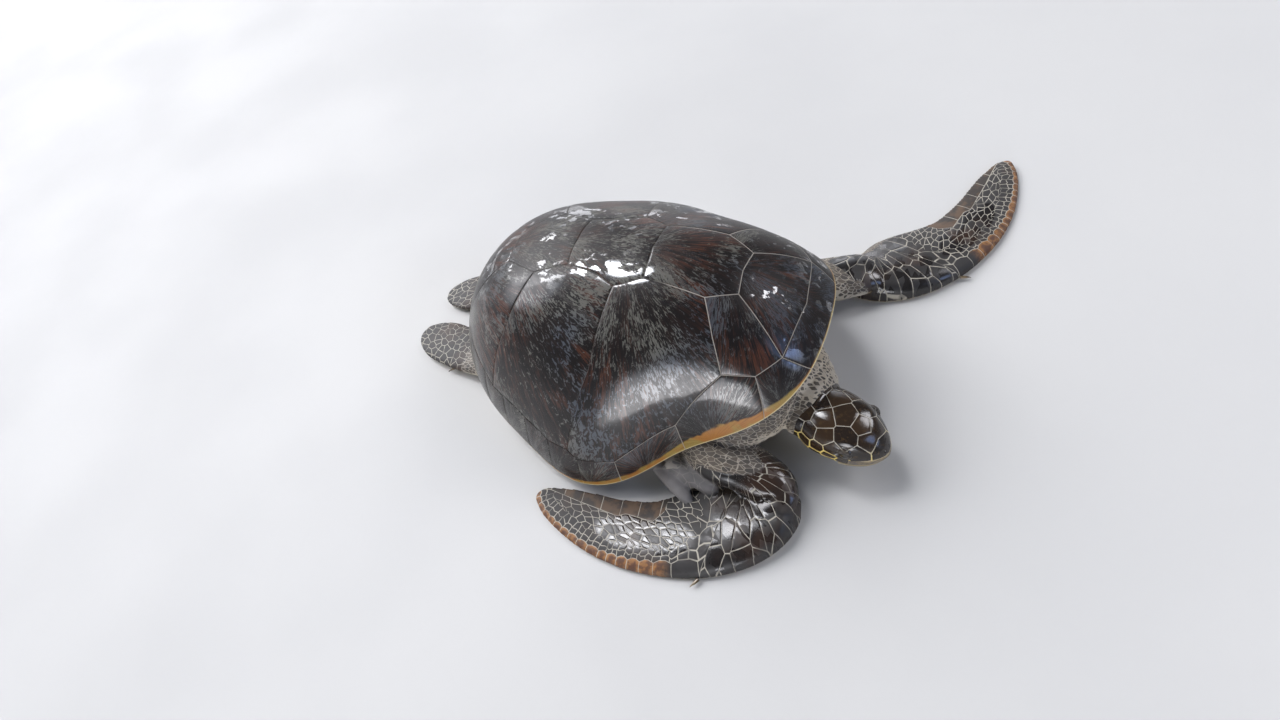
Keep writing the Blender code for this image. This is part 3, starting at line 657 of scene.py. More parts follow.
def half_layout():
    """Seam corners of the left half, each by name, and the plates as loops of names."""
    spots = {}
    for k, angle in enumerate(rim_angles()):
        spots["rim%d" % k] = at_angle(angle, 1.0)
        spots["in%d" % k] = at_angle(angle * 1.012 if k < 12 else angle, SEAM_DEPTH[k])
    spots["in0"] = disc_place(0.372, 0.134)
    spots["in1"] = disc_place(0.328, 0.186)
    spots["nape_rim"] = at_angle(0.0, 1.0)
    spots["nape_back"] = disc_place(*NAPE_BACK)
    for k, (x, y) in enumerate(BACK_CORNERS):
        spots["corner%d" % k] = disc_place(x, y)
        spots["mid%d" % k] = disc_place(x - 0.006, 0.0)
    for k, (x, y) in enumerate(BACK_SIDES):
        spots["side%d" % k] = disc_place(x, y)
        spots["end%d" % k] = disc_place(*COSTAL_ENDS[k])
        spots["bend%d" % k] = disc_place(*COSTAL_BEND[k])
    loops = {
        "costal_1": ["in0", "in1", "end0", "bend0", "side0", "corner0"],
        "costal_2": ["end0", "in2", "in3", "in4", "end1", "bend1", "side1", "corner1", "side0", "bend0"],
        "costal_3": ["end1", "in5", "in6", "in7", "end2", "bend2", "side2", "corner2", "side1", "bend1"],
        "costal_4": ["end2", "in8", "in9", "in10", "corner3", "side2", "bend2"],
    }
    extra = {2: "end0", 5: "end1", 8: "end2"}
    for k in range(1, 13):
        inner = ["in%d" % k] + ([extra[k]] if k in extra else []) + ["in%d" % (k - 1)]
        loops["marginal_%d" % k] = ["rim%d" % (k - 1), "rim%d" % k] + inner
    middle = {
        "nuchal": ["nape_rim", "rim0", "in0", "nape_back"],
        "vertebral_1": ["nape_back", "in0", "corner0", "mid0"],
        "vertebral_2": ["mid0", "corner0", "side0", "corner1", "mid1"],
        "vertebral_3": ["mid1", "corner1", "side1", "corner2", "mid2"],
        "vertebral_4": ["mid2", "corner2", "side2", "corner3", "mid3"],
        "vertebral_5": ["mid3", "corner3", "in10", "in11", "in12"],
    }
    return spots, loops, middle


def plate_loop(corners, on_rim, spacing):
    """Even points round a plate, anticlockwise, on its seams."""
    points = []
    for k, first in enumerate(corners):
        second = corners[(k + 1) % len(corners)]
        a, b = Vector(first), Vector(second)
        if on_rim[k] and on_rim[(k + 1) % len(corners)]:
            start, stop = math.atan2(a.y, a.x), math.atan2(b.y, b.x)
            turn = (stop - start + math.pi) % (2.0 * math.pi) - math.pi
            count = max(2, int(abs(turn) / spacing))
            steps = [start + turn * j / count for j in range(count)]
            points += [Vector((math.cos(angle), math.sin(angle))) for angle in steps]
        else:
            count = max(1, int((b - a).length / spacing))
            points += [a.lerp(b, j / count) for j in range(count)]
    if sum(p.x * q.y - q.x * p.y for p, q in zip(points, points[1:] + points[:1])) < 0.0:
        points.reverse()
    return points


def drawn_in(points, depth):
    """A closed loop moved towards its inside, thinned where it bunches at a corner."""
    moved = []
    for k, point in enumerate(points):
        before = (point - points[k - 1]).normalized()
        after = (points[(k + 1) % len(points)] - point).normalized()
        inward = Vector((-before.y - after.y, before.x + after.x)).normalized()
        moved.append(point + inward * depth / max(0.4, inward.dot(Vector((-after.y, after.x)))))
    return moved


def inside_loop(spots, loop):
    """Which spots lie inside a closed loop, and how far each is from it."""
    a = flat(loop)
    b = np.roll(a, -1, axis=0)
    x, y = spots[:, 0][:, None], spots[:, 1][:, None]
    crosses = (a[:, 1] > y) != (b[:, 1] > y)
    rise = np.where(np.abs(b[:, 1] - a[:, 1]) < 1e-12, 1e-12, b[:, 1] - a[:, 1])
    left = x < (b[:, 0] - a[:, 0]) * (y - a[:, 1]) / rise + a[:, 0]
    return (np.sum(crosses & left, axis=1) % 2) == 1, segment_distance(spots, a)[0]


def filled_loop(loop, spacing, rings):
    """Even triangles over a loop, closer together along its edge so that the edge can be rounded."""
    coords = list(loop)
    for depth in rings:
        ring = drawn_in(loop, depth)
        hit, far = inside_loop(flat(ring), loop)
        coords += [p for p, good, d in zip(ring, hit, far) if good and d > 0.8 * depth]
    low, high = flat(loop).min(0), flat(loop).max(0)
    xs = np.arange(low[0] + spacing / 2.0, high[0], spacing)
    ys = np.arange(low[1] + spacing / 2.0, high[1], spacing)
    grid = np.array([(x + (0.5 * spacing if j % 2 else 0.0), y) for j, y in enumerate(ys) for x in xs])
    if len(grid):
        hit, far = inside_loop(grid, loop)
        keep = hit & (far > rings[-1] + 0.45 * spacing)
        coords += [Vector(p) for p in grid[keep]]
    edges = [(k, (k + 1) % len(loop)) for k in range(len(loop))]
    done = delaunay_2d_cdt(coords, edges, [], 1, 1e-7)
    return done[0], done[2]


def sheet_form(points, faces):
    """A bmesh of one sheet from its points and triangles."""
    form = bmesh.new()
    made = [form.verts.new(p) for p in points]
    for face in faces:
        if len(set(face)) > 2:
            form.faces.new([made[k] for k in face])
    return form


def growth_grain(points, normal, centre, seed):
    """Directions of growth on a plate: how far round its growth point a spot lies, and how far out."""
    across = np.cross(normal, (0.31, 0.2, 0.93))
    across /= np.linalg.norm(across)
    along = np.cross(normal, across)
    away = points - centre
    x, y = away @ across, away @ along
    return np.stack([np.arctan2(y, x) * 0.17, np.hypot(x, y), np.full(len(x), seed)], 1)


def growth_spot(kind, loop):
    """Where a plate grew from, on the layout disc."""
    xs, ys = flat(loop).T
    side = 1.0 if ys.mean() > 0.0 else -1.0
    if kind == "costal":
        return xs.mean() - 0.16, side * (np.abs(ys).min() - 0.10)
    if kind == "marginal":
        angle = math.atan2(ys.mean(), xs.mean()) + side * 0.06
        return math.cos(angle) * 0.99, math.sin(angle) * 0.99
    return xs.min() - 0.07, 0.0


def amber_width(angle):
    """How wide the amber lip is along the rim, widest over the shoulders."""
    return 0.0045 + 0.030 * bell(np.abs(angle), 0.80, 0.30) + 0.012 * bell(np.abs(angle), 1.45, 0.35)


def add_plate(name, kind, corners, on_rim, seed, material):
    s = settings("turtle_shell")
    loop = drawn_in(plate_loop(corners, on_rim, s.fineness), s.seam_gap / 0.46)
    coords, faces = filled_loop(loop, s.fineness, (0.0030, 0.0065, 0.0120))
    u, v = flat(coords).T
    face = shell_point(u, v)
    normal = shell_normal(u, v)
    edge = segment_distance(face, shell_point(*flat(loop).T))[0]
    angle = np.linspace(0.0, 2.0 * math.pi, 361)
    rim = segment_distance(face, shell_point(np.cos(angle), np.sin(angle)))[0]
    start = Vector((seed, 0.0, 0.0))
    swell = np.array([noise.fractal(Vector(p) * 9.0 + start, 0.8, 2.0, 3) for p in face])
    drop = SINK + s.edge_round * (1.0 - np.clip(edge / 0.0035, 0.0, 1.0)) ** 2
    drop = drop + 0.0006 * (1.0 - smooth(edge, 0.0, 0.018))
    drop = drop + 0.0007 * (0.5 - 0.5 * np.clip(swell, -1.0, 1.0))
    centre = shell_point(*growth_spot(kind, loop))
    grain = growth_grain(face, normal.mean(0) / np.linalg.norm(normal.mean(0)), centre, seed)
    points = face - normal * drop[:, None] + np.array(ORIGIN)
    plate = new_piece(name, sheet_form(points, faces))
    set_attributes(plate.data, edge=edge, rim=rim, grain=grain, lip=amber_width(np.arctan2(v, u)))
    thickened(plate, (RIM_THICK if kind in ("marginal", "nuchal") else PLATE_THICK) - 0.0015)
    dress(plate, "shell", material, name.replace("plate_", ""))


class TURTLE_OT_carapace(Operator):
    """Build the horny plates of the upper shell"""

    bl_idname = "turtle.carapace"
    bl_label = "Upper Shell"

    def execute(self, context):
        material = horn_material("Wet dark horn", back_finish)
        spots, loops, middle = half_layout()
        seed = 1.0
        for name, names in loops.items():
            kind, number = name.split("_")
            corners = [spots[key] for key in names]
            on_rim = [key.startswith("rim") for key in names]
            for label, side in (("left", 1.0), ("right", -1.0)):
                seed += 3.7
                flipped = [(x, side * y) for x, y in corners]
                add_plate("plate_%s_%s_%s" % (kind, label, number), kind, flipped, on_rim, seed, material)
        for name, names in middle.items():
            seed += 3.7
            other = [key for key in reversed(names) if abs(spots[key][1]) > 1e-6]
            corners = [spots[key] for key in names] + [(spots[key][0], -spots[key][1]) for key in other]
            on_rim = [key.startswith("rim") or key == "nape_rim" for key in names + other]
            add_plate("plate_" + name, name.split("_")[0], corners, on_rim, seed, material)
        return {"FINISHED"}


# ---------------------------------------------------------------- plates of the belly


def belly_outline(count=160):
    """Rounded outline of the plastron."""
    points = []
    for k in range(count):
        angle = 2.0 * math.pi * k / count
        c, s = math.cos(angle), math.sin(angle)
        reach = rounded(c, s, BELLY_ROUND)
        x = BELLY_CENTRE + (BELLY_HALF_LENGTH - SINK) * c * reach
        narrower = 1.0 - 0.10 * abs(c) * (c < 0.0)
        points.append(Vector((x, (BELLY_HALF_WIDTH - SINK) * s * reach * narrower)))
    return points


def clipped(points, test):
    """The part of a convex loop where a signed distance is positive."""
    kept = []
    for a, b in zip(points, points[1:] + points[:1]):
        da, db = test(a), test(b)
        if da >= 0.0:
            kept.append(a)
        if (da > 0.0) != (db > 0.0) and abs(da - db) > 1e-9:
            kept.append(a.lerp(b, da / (da - db)))
    return kept


def even_loop(points, spacing):
    made = []
    for a, b in zip(points, points[1:] + points[:1]):
        count = max(1, int((b - a).length / spacing))
        made += [a.lerp(b, j / count) for j in range(count)]
    return made


def belly_reach(x, y):
    """Share of the way from the plastron's middle to its outline."""
    return 1.0 / rounded((x - BELLY_CENTRE) / BELLY_HALF_LENGTH, y / BELLY_HALF_WIDTH, BELLY_ROUND)


def add_belly_plate(name, high, low, seed, material):
    """One cross band of the belly, in a left and a right half that meet at the middle seam."""
    form = bmesh.new()
    edges, grains = [], []
    for side in (1.0, -1.0):
        loop = clipped(belly_outline(), lambda p: p.x - low - 0.0006)
        loop = clipped(loop, lambda p: high - 0.0006 - p.x)
        loop = clipped(loop, lambda p: p.y * side - 0.0005)
        loop = even_loop(loop, 0.011)
        coords, faces = filled_loop(loop, 0.012, (0.0015, 0.0035, 0.0065))
        x, y = flat(coords).T
        edge = segment_distance(flat(coords), flat(loop))[0]
        reach = belly_reach(x, y)
        rise = np.where(reach > 0.9, 0.007 * np.maximum(0.0, (reach - 0.86) / 0.14) ** 2, 0.0)
        z = 0.0002 + rise + 0.0010 * (1.0 - np.clip(edge / 0.0040, 0.0, 1.0)) ** 2
        points = np.stack([x, y, z], 1)
        centre = np.array([x.min() - 0.05, side * 0.02, 0.0])
        grains.append(growth_grain(points, np.array([0.0, 0.0, -1.0]), centre, seed + side))
        edges.append(edge)
        made = [form.verts.new(Vector(p) + ORIGIN) for p in points]
        for face in faces:
            form.faces.new([made[k] for k in reversed(face)])
    plate = new_piece("plate_plastron_" + name, form)
    set_attributes(plate.data, edge=np.concatenate(edges), grain=np.concatenate(grains))
    thickened(plate, BELLY_THICK - 0.0065)
    dress(plate, "belly_shell", material, "plastron_" + name)


class TURTLE_OT_plastron(Operator):
    """Build the pale plates of the belly"""

    bl_idname = "turtle.plastron"
    bl_label = "Belly Plates"

    def execute(self, context):
        material = horn_material("Pale belly horn", belly_finish)
        names = ("gular", "humeral", "pectoral", "abdominal", "femoral", "anal")
        bounds = (0.5,) + BELLY_SEAMS + (-0.6,)
        for k, name in enumerate(names):
            add_belly_plate(name, bounds[k], bounds[k + 1], 200.0 + 5.3 * k, material)
        return {"FINISHED"}


# ---------------------------------------------------------------- forms of the body


def loft(form, rings):
    """Joins closed rings of points into one closed tube."""
    start = len(form.faces)
    loops = []
    for ring in rings:
        verts = [form.verts.new(p) for p in ring]
        loops.append([form.edges.new((a, b)) for a, b in zip(verts, verts[1:] + verts[:1])])
    for first, second in zip(loops, loops[1:]):
        bmesh.ops.bridge_loops(form, edges=first + second)
    for end in (loops[0], loops[-1]):
        bmesh.ops.holes_fill(form, edges=end, sides=0)
    form.faces.ensure_lookup_table()
    bmesh.ops.recalc_face_normals(form, faces=form.faces[start:])


def eased(points, count):
    """Points on a smooth curve through the given ones, with any number of values each."""
    points = np.asarray(points, float)
    ends = np.vstack([2 * points[0] - points[1], points, 2 * points[-1] - points[-2]])
    made = []
    for t in np.linspace(0.0, len(points) - 1.0, count):
        k = min(int(t), len(points) - 2)
        f = t - k
        a, b, c, d = ends[k : k + 4]
        bend = (2 * a - 5 * b + 4 * c - d) * f**2 + (3 * b - a - 3 * c + d) * f**3
        made.append(0.5 * (2 * b + (c - a) * f + bend))
    return np.array(made)


def tube_rings(stations, sides, squareness=2.0, lowest=None):
    """Rings along a path; each station holds x, y, z, half-width across and half-height up."""
    rings = []
    for k, station in enumerate(stations):
        before, after = stations[max(k - 1, 0)], stations[min(k + 1, len(stations) - 1)]
        ahead = Vector(after[:3] - before[:3]).normalized()
        across = ahead.cross(Vector((0.0, 0.0, 1.0))).normalized()
        up = across.cross(ahead)
        ring = []
        for j in range(sides):
            turn = 2.0 * math.pi * j / sides
            c, s = math.cos(turn), math.sin(turn)
            reach = rounded(c, s, squareness)
            spot = Vector(station[:3]) + across * station[3] * c * reach + up * station[4] * s * reach
            if lowest is not None:
                spot.z = max(spot.z, lowest)
            ring.append(spot + ORIGIN)
        rings.append(ring)
    return rings


def trunk_bulge(angle):
    """How far the flesh under the rim swells out, by angle round the body."""
    return 0.052 * bell(abs(angle), 0.62, 0.34) + 0.020 * bell(abs(angle), 2.60, 0.30)


def trunk_rings(count=130):
    """The flesh between the shell's rim and the belly plates."""
    rings = []
    angles = [2.0 * math.pi * k / count - math.pi for k in range(count)]
    for q in (0.80, 0.87, 0.935):
        ring = []
        for a in angles:
            u, v = q * math.cos(a), q * math.sin(a)
            depth = RIM_THICK + CORE_GAP + 0.0006
            ring.append(Vector(shell_point(u, v) - shell_normal(u, v) * depth) + ORIGIN)
        rings.append(ring)
    for step in np.linspace(0.0, 1.0, 12):
        ring = []
        for a in angles:
            c, s = math.cos(a), math.sin(a)
            out = Vector((c, s, 0.0))
            start = Vector(shell_point(c, s)) - out * 0.0246 + Vector((0.0, 0.0, -0.008))
            reach = rounded(c, s, BELLY_ROUND)
            foot = Vector((BELLY_CENTRE + BELLY_HALF_LENGTH * c * reach, BELLY_HALF_WIDTH * s * reach, 0.0))
            foot -= out * 0.0066
            foot.z = BELLY_THICK + 0.0012
            spot = start.lerp(foot, step)
            spot += out * (trunk_bulge(a) * math.sin(math.pi * min(1.0, step**0.8)))
            spot.z = start.z + (foot.z - start.z) * step**0.9
            ring.append(spot + ORIGIN)
        rings.append(ring)
    return rings


def blade_edges(u):
    """Leading and trailing edge of a front flipper's blade at a distance u from the wrist end."""
    if u < 0.28:
        lead = 0.187 * math.sqrt(max(0.0, 1.0 - ((0.28 - u) / 0.28) ** 2))
    else:
        lead = 0.187 - 0.1435 * ((u - 0.28) / (BLADE_LENGTH - 0.28)) ** 2.28
    trail = -0.064 * math.sqrt(max(0.0, 1.0 - ((0.12 - min(u, 0.12)) / 0.12) ** 2))
    trail += 0.078 * float(smooth(u, 0.15, 0.36)) - 0.018 * float(smooth(u, 0.40, 0.56))
    squeeze = math.sqrt(max(0.0, 1.0 - max(0.0, (u - BLADE_LENGTH + 0.040) / 0.040) ** 2))
    middle = 0.5 * (lead + trail)
    return middle + (lead - middle) * squeeze, middle + (trail - middle) * squeeze


def blade_lift(u, share):
    """Height of the blade's back above its edge, by place along and share of the way to the leading edge."""
    swell = min(1.0, math.sqrt(max(u, 0.0) / 0.05) + 0.12)
    thick = 0.058 * (1.0 - 0.80 * float(smooth(u, 0.0, 0.52))) * swell
    return thick * (max(share, 0.0) ** 0.62) * (max(1.0 - share, 0.0) ** 0.36) * 1.62


def placed(u, v, z, wrist, aim, side):
    """A place on a blade, in the shared frame; side is -1 on the right of the body."""
    along = Vector((math.cos(aim), math.sin(aim), 0.0))
    across = Vector((math.sin(aim) * side, -math.cos(aim) * side, 0.0))
    return Vector(wrist) + along * u + across * v + Vector((0.0, 0.0, z)) + ORIGIN


def blade_rings(wrist, aim, side, stations=84, around=52):
    """Cross-sections of a blade, drawn in by the thickness that the edge gets afterwards."""
    rings = []
    for k in range(stations):
        u = BLADE_LENGTH * (0.5 - 0.5 * math.cos(math.pi * (k + 0.35) / (stations - 0.3)))
        u = min(max(u, 0.0045), BLADE_LENGTH - 0.0052)
        lead, trail = blade_edges(u)
        room = min(BLADE_SKIN + 0.0006, 0.45 * (lead - trail))
        ring = []
        for j in range(around):
            turn = 2.0 * math.pi * j / around
            share = 0.5 - 0.5 * math.cos(turn)
            lift = blade_lift(u, share)
            high = 0.0080 + max(0.0, lift - 0.0030)
            if turn > math.pi:
                high = max(BLADE_SKIN + 0.0004, 0.0080 - 0.5 * lift)
            across = trail + room + (lead - trail - 2.0 * room) * share
            ring.append(placed(u, across, high, wrist, aim, side))
        rings.append(ring)
    return rings


def arm_rings(wrist, aim, side):
    """Shoulder to wrist of an upper arm, ending inside the blade."""
    turn = placed(0.046, 0.006, 0.048, wrist, aim, side) - ORIGIN
    end = placed(0.095, 0.030, 0.034, wrist, aim, side) - ORIGIN
    if side < 0:
        wide = (0.066, 0.064, 0.060, 0.052, 0.038, 0.022)
        high = (0.056, 0.050, 0.044, 0.036, 0.026, 0.014)
    else:
        wide = (0.070, 0.070, 0.070, 0.070, 0.066, 0.050)
        high = (0.056, 0.050, 0.046, 0.041, 0.034, 0.018)
    reach = abs(wrist[1])
    path = (
        (0.165, 0.205 * side, 0.100),
        (wrist[0] - 0.206, (reach - 0.050) * side, 0.078),
        (wrist[0] - 0.132, (reach - 0.034) * side, 0.070),
        (wrist[0] - 0.066, (reach - 0.016) * side, 0.060),
        tuple(turn),
        tuple(end),
    )
    return tube_rings(eased([(*p, a - 0.0008, b - 0.0008) for p, a, b in zip(path, wide, high)], 30), 36)


def rear_rings(side):
    """A broad paddle trailing back under the shell, its sole on the floor."""
    stations = []
    for t in np.concatenate([np.linspace(0.0, 0.9, 26), 1.0 - 0.1 * np.linspace(1.0, 0.02, 10)[1:] ** 2]):
        tip = math.sqrt(1.0 - (max(0.0, t - 0.74) / 0.265) ** 2)
        wide = (0.048 + 0.024 * float(smooth(t / 0.65))) * tip
        high = (0.027 * (1.0 - t) + 0.0085) * (1.0 - 0.5 * max(0.0, t - 0.8) / 0.2)
        y = side * (REAR_OUT - REAR_IN * t**1.5)
        z = 0.040 * (1.0 - t) ** 1.5 + 0.015
        stations.append((-0.330 - 0.4692 * t, y, z, wide - 0.0008, high - 0.0006))
    return tube_rings(np.array(stations), 34, 2.2, 0.0006)


def head_matrix():
    """From the head's own frame, nape to nose along x, to the shared one."""
    turn = Matrix.Rotation(HEAD_TURN, 4, "Z") @ Matrix.Rotation(-HEAD_NOD, 4, "Y")
    return Matrix.Translation(Vector(HEAD_BASE) + ORIGIN) @ turn


def head_section(t):
    """Half-width, crown height and chin depth of the head at a share t of its length."""
    wide = 0.060 + 0.018 * float(smooth(t / 0.33))
    wide *= (1.0 - max(0.0, (t - 0.33) / 0.67) ** 2.3) ** 0.62
    crown = 0.052 + 0.014 * float(smooth(t / 0.45))
    crown *= (1.0 - max(0.0, (t - 0.45) / 0.55) ** 2.0) ** 0.60
    chin = 0.046 + 0.006 * float(smooth(t / 0.40))
    chin *= (1.0 - max(0.0, (t - 0.40) / 0.60) ** 3.0) ** 0.60
    return max(wide, 0.003), max(crown, 0.003), max(chin, 0.003)


def head_spot(t, turn, grow=0.0):
    """A place on the head in its own frame: t from nape to nose, turn from the left side over the crown."""
    wide, crown, chin = head_section(t)
    c, s = math.cos(turn), math.sin(turn)
    reach = rounded(c, s, HEAD_ROUND)
    up = (crown if s > 0.0 else chin) + grow
    return Vector((t * HEAD_LENGTH, (wide + grow) * c * reach, up * s * reach))


def head_rings():
    place = head_matrix()
    steps = np.concatenate([np.linspace(0.0, 0.9, 26), 1.0 - 0.1 * np.linspace(1.0, 0.05, 12)[1:] ** 2])
    return [[place @ head_spot(t, 2.0 * math.pi * j / 44, -0.0006) for j in range(44)] for t in steps]


def lobe_rings(start, end, height, radius, wrist, aim, side):
    """A soft fold of skin lying across the root of a folded flipper."""
    a = placed(*start, height[0], wrist, aim, side) - ORIGIN
    b = placed(*end, height[1], wrist, aim, side) - ORIGIN
    stations = []
    for t in np.linspace(0.0, 1.0, 18):
        spot = a.lerp(b, t)
        size = radius * math.sqrt(max(0.04, 1.0 - t**6)) * (0.86 + 0.14 * t)
        stations.append((*spot, size, size * 0.78))
    return tube_rings(np.array(stations), 16)


# Folds of skin across the root of the right flipper: two ends on the blade, their heights, radius, bareness.
LOBES = (
    ((0.335, -0.064), (0.247, 0.017), (0.046, 0.034), 0.0215, 0.90),
    ((0.306, -0.074), (0.186, -0.014), (0.056, 0.042), 0.0300, 0.62),
)

# Stations of neck and tail: a place, and half of the width and of the height there.
NECK = (
    (0.250, -0.010, 0.150, 0.120, 0.088),
    (0.320, -0.042, 0.142, 0.112, 0.082),
    (0.375, -0.086, 0.130, 0.098, 0.074),
    (0.425, -0.138, 0.120, 0.078, 0.062),
    (0.450, -0.148, 0.116, 0.060, 0.050),
)
TAIL = (
    (-0.400, 0.0, 0.066, 0.040, 0.034),
    (-0.500, 0.0, 0.058, 0.032, 0.028),
    (-0.560, 0.0, 0.046, 0.024, 0.021),
    (-0.600, 0.0, 0.036, 0.016, 0.014),
    (-0.627, 0.0, 0.030, 0.005, 0.005),
)

# Plates of the head: share of the way to the nose, and degrees up from the side to the crown.
HEAD_PLATES = (
    ("nose", 0.930, 74), ("prefrontal", 0.790, 70), ("frontal", 0.668, 90), ("supraocular", 0.600, 55),
    ("frontoparietal", 0.485, 90), ("parietal", 0.300, 66), ("interparietal", 0.170, 90),
    ("temple", 0.400, 38), ("preocular", 0.770, 30), ("postocular_1", 0.520, 22),
    ("postocular_2", 0.515, 2), ("postocular_3", 0.530, -18), ("tympanic_1", 0.385, 12),
    ("tympanic_2", 0.375, -14),
    ("cheek_1", 0.240, 34), ("cheek_2", 0.235, 6), ("cheek_3", 0.240, -22), ("jaw_1", 0.400, -40),
    ("jaw_2", 0.560, -42), ("subocular", 0.655, -10), ("nape_1", 0.110, 60), ("nape_2", 0.105, 28),
    ("nape_3", 0.100, -4), ("nape_4", 0.110, -36),
)


# ---------------------------------------------------------------- the one skin


def relaxed(mesh, rounds):
    """Smooths a mesh without shrinking it, by alternate steps to and from the neighbours' middle."""
    co = places(mesh)
    ends = np.empty(len(mesh.edges) * 2, np.int32)
    mesh.edges.foreach_get("vertices", ends)
    a, b = ends[0::2], ends[1::2]
    count = np.maximum(np.bincount(a, minlength=len(co)) + np.bincount(b, minlength=len(co)), 1)
    for _ in range(rounds):
        for factor in (0.5, -0.52):
            total = np.zeros_like(co)
            for k in range(3):
                total[:, k] = np.bincount(a, co[b, k], len(co)) + np.bincount(b, co[a, k], len(co))
            co += factor * (total / count[:, None] - co)
    set_places(mesh, co)


def waves(co, scale, seed=0.0, octaves=2):
    """Even noise from -1 to 1 for each point."""
    shift = Vector((seed, seed * 0.37, -seed))
    return np.array([noise.fractal(Vector(p) * scale + shift, 0.7, 2.0, octaves) for p in co])


def on_head(own):
    """1 for points on the head's own surface, 0 for those of the neck around it."""
    t = np.clip(own[:, 0] / HEAD_LENGTH, 0.0, 0.9)
    stations = np.linspace(0.0, 0.9, 60)
    sizes = np.array([head_section(k) for k in stations])
    wide, crown, chin = (np.interp(t, stations, sizes[:, k]) for k in range(3))
    up = np.where(own[:, 2] > 0.0, crown, chin)
    far = 1.0 / rounded(own[:, 1] / wide, own[:, 2] / up, HEAD_ROUND)
    far = np.where(own[:, 0] > 0.11, np.maximum(np.abs(own[:, 1]), np.abs(own[:, 2])) / 0.09, far)
    return smooth(own[:, 0], 0.000, 0.008) * (own[:, 0] < 0.24) * (1.0 - smooth(far, 1.07, 1.14))


def in_head(co):
    """Places in the head's own frame."""
    back = np.array(head_matrix().inverted())
    return co @ back[:3, :3].T + back[:3, 3]


def from_head(co):
    """Places in the shared frame, from those in the head's own."""
    ahead = np.array(head_matrix())
    return co @ ahead[:3, :3].T + ahead[:3, 3]


def on_blade(co, wrist, aim, side):
    """Distance from the wrist end and towards the leading edge, for each point."""
    away = co - np.array(Vector(wrist) + ORIGIN)
    along = away[:, 0] * math.cos(aim) + away[:, 1] * math.sin(aim)
    across = (away[:, 0] * math.sin(aim) - away[:, 1] * math.cos(aim)) * side
    return along, across


def skin_body():
    """All the flesh as one closed mesh: lofted, joined by a remesh, and left open nowhere."""
    form = bmesh.new()
    for blade in BLADES:
        loft(form, blade_rings(*blade))
    form.normal_update()
    for vert in form.verts:
        vert.co += vert.normal * BLADE_SKIN
    loft(form, trunk_rings())
    loft(form, tube_rings(eased(np.array(NECK) - (0.0, 0.0, 0.0, 0.001, 0.001), 26), 44))
    loft(form, head_rings())
    for wrist, aim, side in BLADES:
        loft(form, arm_rings(wrist, aim, side))
        loft(form, rear_rings(side))
    for start, end, height, radius, _ in LOBES:
        loft(form, lobe_rings(start, end, height, radius, *BLADES[0]))
    loft(form, tube_rings(eased(np.array(TAIL) - (0.0, 0.0, 0.0, 0.0005, 0.0005), 24), 20))
    piece = new_piece("skin", form)
    change = piece.modifiers.new("one skin", "REMESH")
    change.mode = "VOXEL"
    change.voxel_size = settings("turtle_skin").voxel
    change.use_smooth_shade = True
    return applied(piece)


def thin_where_covered(piece):
    """Merges the small faces that shell and plastron hide, so that the one skin stays light."""
    spots = places(piece.data) - np.array(ORIGIN)
    x, y, z = spots.T
    angle = np.arctan2(y, x)
    covered = (z > series(RIM_HEIGHT, angle) + 0.015) & (np.hypot(x, y) < 0.95 * series(OUTLINE, angle))
    level = normals_of(piece.data)[:, 2] < -0.6
    covered |= level & (((x - BELLY_CENTRE) / BELLY_HALF_LENGTH) ** 2 + (y / BELLY_HALF_WIDTH) ** 2 < 0.80)
    group = piece.vertex_groups.new(name="covered")
    group.add(np.flatnonzero(covered).tolist(), 1.0, "REPLACE")
    change = piece.modifiers.new("thin where covered", "DECIMATE")
    change.ratio = 1.0 - 0.975 * float(covered.mean())
    change.vertex_group = group.name
    applied(piece)
    piece.vertex_groups.clear()


def refine_head(form):
    """Halves the mesh size over the head, and once more round eyes and nostrils, for clean lids and lips."""
    back = head_matrix().inverted()

    def over_head(spot):
        return 0.020 < spot.x < 0.225 and abs(spot.y) < 0.095 and -0.070 < spot.z < 0.085

    def fine_part(spot):
        eye = Vector((spot.x, abs(spot.y), spot.z)) - Vector(EYE_PLACE)
        return eye.length < 0.031 or (spot.x > 0.182 and abs(spot.y) < 0.018 and 0.006 < spot.z < 0.034)

    for wanted in (over_head, fine_part):
        chosen = {vert for vert in form.verts if wanted(back @ vert.co)}
        edges = [edge for edge in form.edges if edge.verts[0] in chosen and edge.verts[1] in chosen]
        bmesh.ops.subdivide_edges(form, edges=edges, cuts=1, use_grid_fill=True)
        bmesh.ops.triangulate(form, faces=[face for face in form.faces if len(face.verts) > 4])


